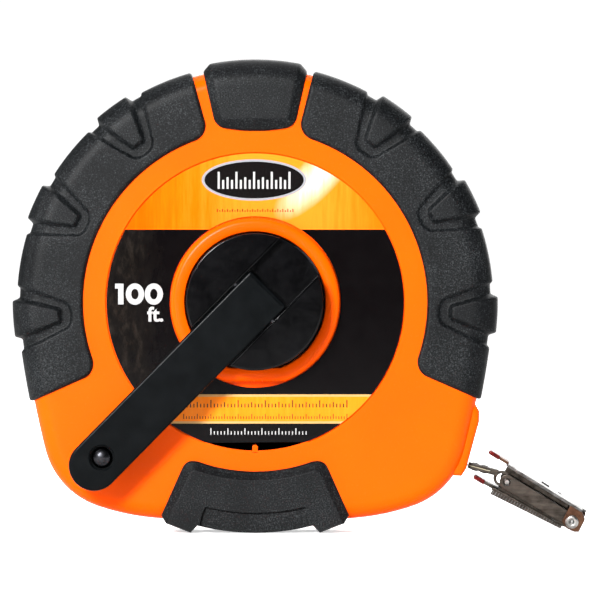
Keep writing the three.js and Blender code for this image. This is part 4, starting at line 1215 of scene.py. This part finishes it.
def upper_frame():
    """The upper claw's prong and its two ears round the eyelet."""
    foot = UPPER["near_eyelet"] + SHEET / 2
    ears = claw_ears(1, UPPER_EAR, [(-2.9, foot), (-2.6, -1.5), (-0.4, -2.5), (3.3, -2),
                                    (3, 2.6), (0.9, foot)])
    prong = claw_strip(UPPER, PRONG_START, PLATE_START - 0.05, -2, 2)
    return cut(gathered([prong, *ears]), [eyelet_hole()])


def upper_plate():
    half = UPPER["half"]
    solids = [claw_strip(UPPER, PLATE_START, EYELET_U + 0.9, -half, half),
              claw_strip(UPPER, EYELET_U, EYELET_U + 2.2, -2.1, 2.1)]
    window = [box(8.9, 11.6, -2.2, 1.2, 2, 8), box(14.6, 15.9, -1.6, 0.2, 2, 8)]
    return cut(joined(solids), window)


def upper_flange():
    """The turned-down edges under the upper plate, in near-black metal: painted shade for the
    shadowed gap between the plate and the hook's cheeks.
    """
    half, end = UPPER["half"], EYELET_U - 3.4
    outline = [(PLATE_START, plate_height(UPPER, PLATE_START) - 0.03),
               (PLATE_START, plate_height(UPPER, PLATE_START) - 1.5),
               (end, plate_height(UPPER, end) - 1.1), (end, plate_height(UPPER, end) - 0.03)]
    return gathered(both_sides(outline, half - 0.5, half - 0.05, 0.08))


def lower_claw():
    side, half = LOWER["side"], LOWER["half"]
    near_pin, near_eyelet = LOWER["near_pin"], LOWER["near_eyelet"]
    foot = near_eyelet + SHEET / 2
    ears = claw_ears(side, LOWER_EAR, [(-3.6, foot), (-2.2, -1.5), (-0.4, -2.4), (2, -1.5),
                                       (2.3, 1.2), (0.4, 2.4), (-1.8, foot)])
    fork, end = EYELET_U - 5.2, EYELET_U - 1.8
    flange = [(PLATE_START, side * (near_pin + SHEET / 2)), (end, side * (near_eyelet + SHEET / 2)),
              (end, side * (near_eyelet + SHEET + 0.3)),
              (PLATE_START, side * (near_pin + SHEET + 1.3))]
    solids = [claw_strip(LOWER, PLATE_START, fork, -half, half),
              claw_strip(LOWER, fork - 1, end, -half, -LOWER_EAR[0]),
              claw_strip(LOWER, fork - 1, end, LOWER_EAR[0], half),
              *both_sides(flange, half - SHEET, half, 0.1),
              claw_strip(LOWER, PRONG_START, PLATE_START + 0.4, -2, 2), *ears]
    return cut(joined(solids), [eyelet_hole()])


def lower_painted_shade():
    """Near-black strips inside the lower claw: painted shade, seen between its plate and the hook's
    cheeks.
    """
    start, end = PLATE_START + 1.2, EYELET_U - 5.5
    outline = [(start, -plate_height(LOWER, start) - 0.05), (end, -plate_height(LOWER, end) - 0.05),
               (end, -1.7), (start + 0.6, -1.7)]
    return gathered(both_sides(outline, 3.0, 3.3, 0.05))


def lower_ribs():
    """Upright ribs pressed into the lower claw's flanges."""
    half = LOWER["half"]
    near_pin, near_eyelet, end = LOWER["near_pin"], LOWER["near_eyelet"], EYELET_U - 1.8
    ribs = []
    count = 26
    for i in range(count):
        u = PLATE_START + 0.4 + (end - PLATE_START - 0.8) * i / (count - 1)
        share = (u - PLATE_START) / (end - PLATE_START)
        low = near_pin + SHEET + 1.1 + (near_eyelet + 0.2 - near_pin - 1.1) * share
        high = low - 1.3 + 0.5 * share
        for y0, y1 in ((-half - 0.15, -half + 0.3), (half - 0.3, half + 0.15)):
            ribs.append(box(u - 0.14, u + 0.14, y0, y1, -low, -high))
    return gathered(ribs)


def claw_tip(claw):
    side = claw["side"]
    start, end = PRONG_START + 0.9, PRONG_START - GAP - 2.6
    z0 = plate_height(claw, start) - 0.25
    z1 = z0 + SHEET + 0.5
    outline = rounded([(start, side * z0), (end + 0.5, side * (z0 + 0.1)),
                       (end, side * (z0 + 0.55)), (end + 0.5, side * z1),
                       (start, side * z1)], 0.28, 3)
    return slab(outline, -2.25, 2.25, 0.35)


def hook_eyelet():
    end = UPPER_EAR[1] + GAP
    half = [(0.6, end + 0.3), (0.75, end + 0.5), (1.1, end + 0.6), (1.5, end + 0.6),
            (1.85, end + 0.4), (2.0, end + 0.2), (1.95, end), (1.2, end)]
    profile = [(r, -y) for r, y in half] + half[::-1]
    return lathe(profile, 40, EYELET_U)


def hook_pin():
    return lathe([(0, -4.2), (0.65, -4.2), (0.8, -4.05), (0.8, 4.05), (0.65, 4.2), (0, 4.2)], 24)


def add_blade_and_hook():
    add_piece("blade_marks", blade_marks(), M["black_print"], "tape_end")
    add_piece("tape_clip_look", tape_clip(), M["cheek"], "tape_end", ["tape_clip"],
              CLIP)
    for i, x in enumerate(CLIP_RIVETS):
        add_piece(f"clip_rivet_look_{i + 1}", clip_rivet(x), M["cheek"], "tape_end",
                  [f"clip_rivet_{i + 1}"], CLIP)
    for name, solid, look, body, nodes, slot in (
            ("hook_pin", hook_pin(), "steel", "hook", ["hook_pin"], "steel"),
            ("hook_body", hook_body(), "cheek", "hook", ["hook_body"], "hook_steel"),
            ("upper_plate", upper_plate(), "plate", "upper_claw", ["upper_claw"], "hook_steel"),
            ("upper_frame", upper_frame(), "copper", "upper_claw", [], "hook_steel"),
            ("upper_flange", upper_flange(), "shade", "upper_claw", [], "hook_steel"),
            ("lower_claw", lower_claw(), "cheek", "lower_claw", ["lower_claw"], "hook_steel"),
            ("lower_painted_shade", lower_painted_shade(), "shade", "lower_claw", [], "hook_steel"),
            ("lower_ribs", lower_ribs(), "plate", "lower_claw", [], "hook_steel"),
            ("upper_tip", claw_tip(UPPER), "red", "upper_claw", ["upper_claw_tip"], "red_dip"),
            ("lower_tip", claw_tip(LOWER), "red", "lower_claw", ["lower_claw_tip"], "red_dip"),
            ("hook_eyelet", hook_eyelet(), "steel", "hook", ["hook_eyelet"], "steel")):
        add_piece(f"{name}_look", solid, M[look], body, nodes, HOOK)


def finish_cad_nodes():
    """The inner pieces keep their CAD meshes and get node materials."""
    finishes = {
        "steel": ["spindle", "spindle_screw", "spindle_washer", "blade_anchor_pin",
                  "hub_screw_1", "hub_screw_2", "hub_screw_3"],
        "rivet": ["crank_pin"],
        "bronze": ["front_bush", "rear_bush"],
        "inner": ["drum_core", "front_flange", "rear_flange"],
        "blade": ["blade_coil", "blade_tail"],
    }
    for finish, nodes in finishes.items():
        for node in nodes:
            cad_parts[node].material_slots[0].material = M[finish]


# ---- stage
def area_light(name, place, size, power, size_y=None):
    """A white rectangle that faces the middle of the reel."""
    light = bpy.data.lights.new(name, "AREA")
    light.shape = "RECTANGLE"
    light.size = size
    light.size_y = size_y or size
    light.energy = power
    lamp = linked(name, light)
    lamp.location = place
    direction = Vector((0, 0, 0.07)) - Vector(place)
    lamp.rotation_euler = direction.to_track_quat("-Z", "Y").to_euler()


def background(nodes, strength):
    return put(nodes.node("ShaderNodeBackground"), Color=(1, 1, 1, 1), Strength=strength)


def make_world():
    """White behind the object, and on it a softer light that comes mostly from behind."""
    world = bpy.data.worlds.new("studio")
    bpy.context.scene.world = world
    world.use_nodes = True
    world.node_tree.nodes.clear()
    nodes = Nodes(world.node_tree, "Generated")
    split = nodes.node("ShaderNodeSeparateXYZ")
    nodes.link(nodes.coordinates, split.inputs[0])
    backwards = nodes.span(split.outputs["Y"], -1, 1)
    soft = background(nodes, 0.3)
    nodes.link(nodes.ramp(backwards, [(0.02, (0.12, 0.12, 0.13)), (0.75, (1, 1, 1))]),
               soft.inputs["Color"])
    seen = nodes.node("ShaderNodeLightPath").outputs["Is Camera Ray"]
    mix = nodes.node("ShaderNodeMixShader")
    sources = [seen, soft.outputs[0], background(nodes, 1.05).outputs[0]]
    for source, socket in zip(sources, mix.inputs):
        nodes.link(source, socket)
    output = nodes.node("ShaderNodeOutputWorld")
    nodes.link(mix.outputs[0], output.inputs["Surface"])


def make_floor():
    """A pale floor that glows brighter away from the reel, so that it fades into the backdrop."""
    half = 8.0
    mesh = bpy.data.meshes.new("floor")
    mesh.from_pydata([(-half, -half, 0), (half, -half, 0), (half, half, 0), (-half, half, 0)], [],
                     [(0, 1, 2, 3)])
    s = Shader("floor_white", (0.9, 0.9, 0.9), 0.6, Emission_Color=(1, 1, 1, 1),
               Specular_IOR_Level=0.1)
    s.colour(s.ramp(s.noise(300, 2), [(0.3, (0.90, 0.90, 0.90)), (0.7, (0.92, 0.92, 0.92))]))
    away = s.node("ShaderNodeVectorMath", operation="LENGTH")
    s.link(s.coordinates, away.inputs[0])
    glow = s.span(away.outputs["Value"], 0.35, 1.2, 0.55, 1.0)
    seen = s.node("ShaderNodeLightPath").outputs["Is Camera Ray"]
    s.link(s.math("MULTIPLY", glow, s.span(seen, 0, 1, 0.03, 1.0)),
           s.bsdf.inputs["Emission Strength"])
    mesh.materials.append(s.material)
    linked("floor", mesh)


def make_camera():
    """A long lens, level and square to the front face."""
    data = bpy.data.cameras.new("camera")
    data.sensor_width = 36
    data.lens = 306
    data.clip_start, data.clip_end = 0.05, 50
    camera = linked("camera", data)
    camera.location = (0.0132, -1.512, 0.0685)
    camera.rotation_euler = (math.pi / 2, 0, 0)
    bpy.context.scene.camera = camera


def make_stage():
    make_world()
    make_floor()
    make_camera()
    area_light("key", (-0.50, -1.60, 0.62), 0.34, 63)
    area_light("left_strip", (-1.0, -0.25, 0.35), 0.25, 6, size_y=0.9)
    area_light("top", (0.0, 0.15, 1.2), 0.8, 5)
    area_light("right_low", (1.0, -0.5, 0.1), 0.5, 0.6)
    area_light("back", (0.4, 1.5, 0.8), 1.7, 34)
    bpy.context.scene.view_settings.view_transform = "Standard"


add_case()
add_rubber()
add_labels()
add_crank()
add_blade_and_hook()
finish_cad_nodes()
make_stage()
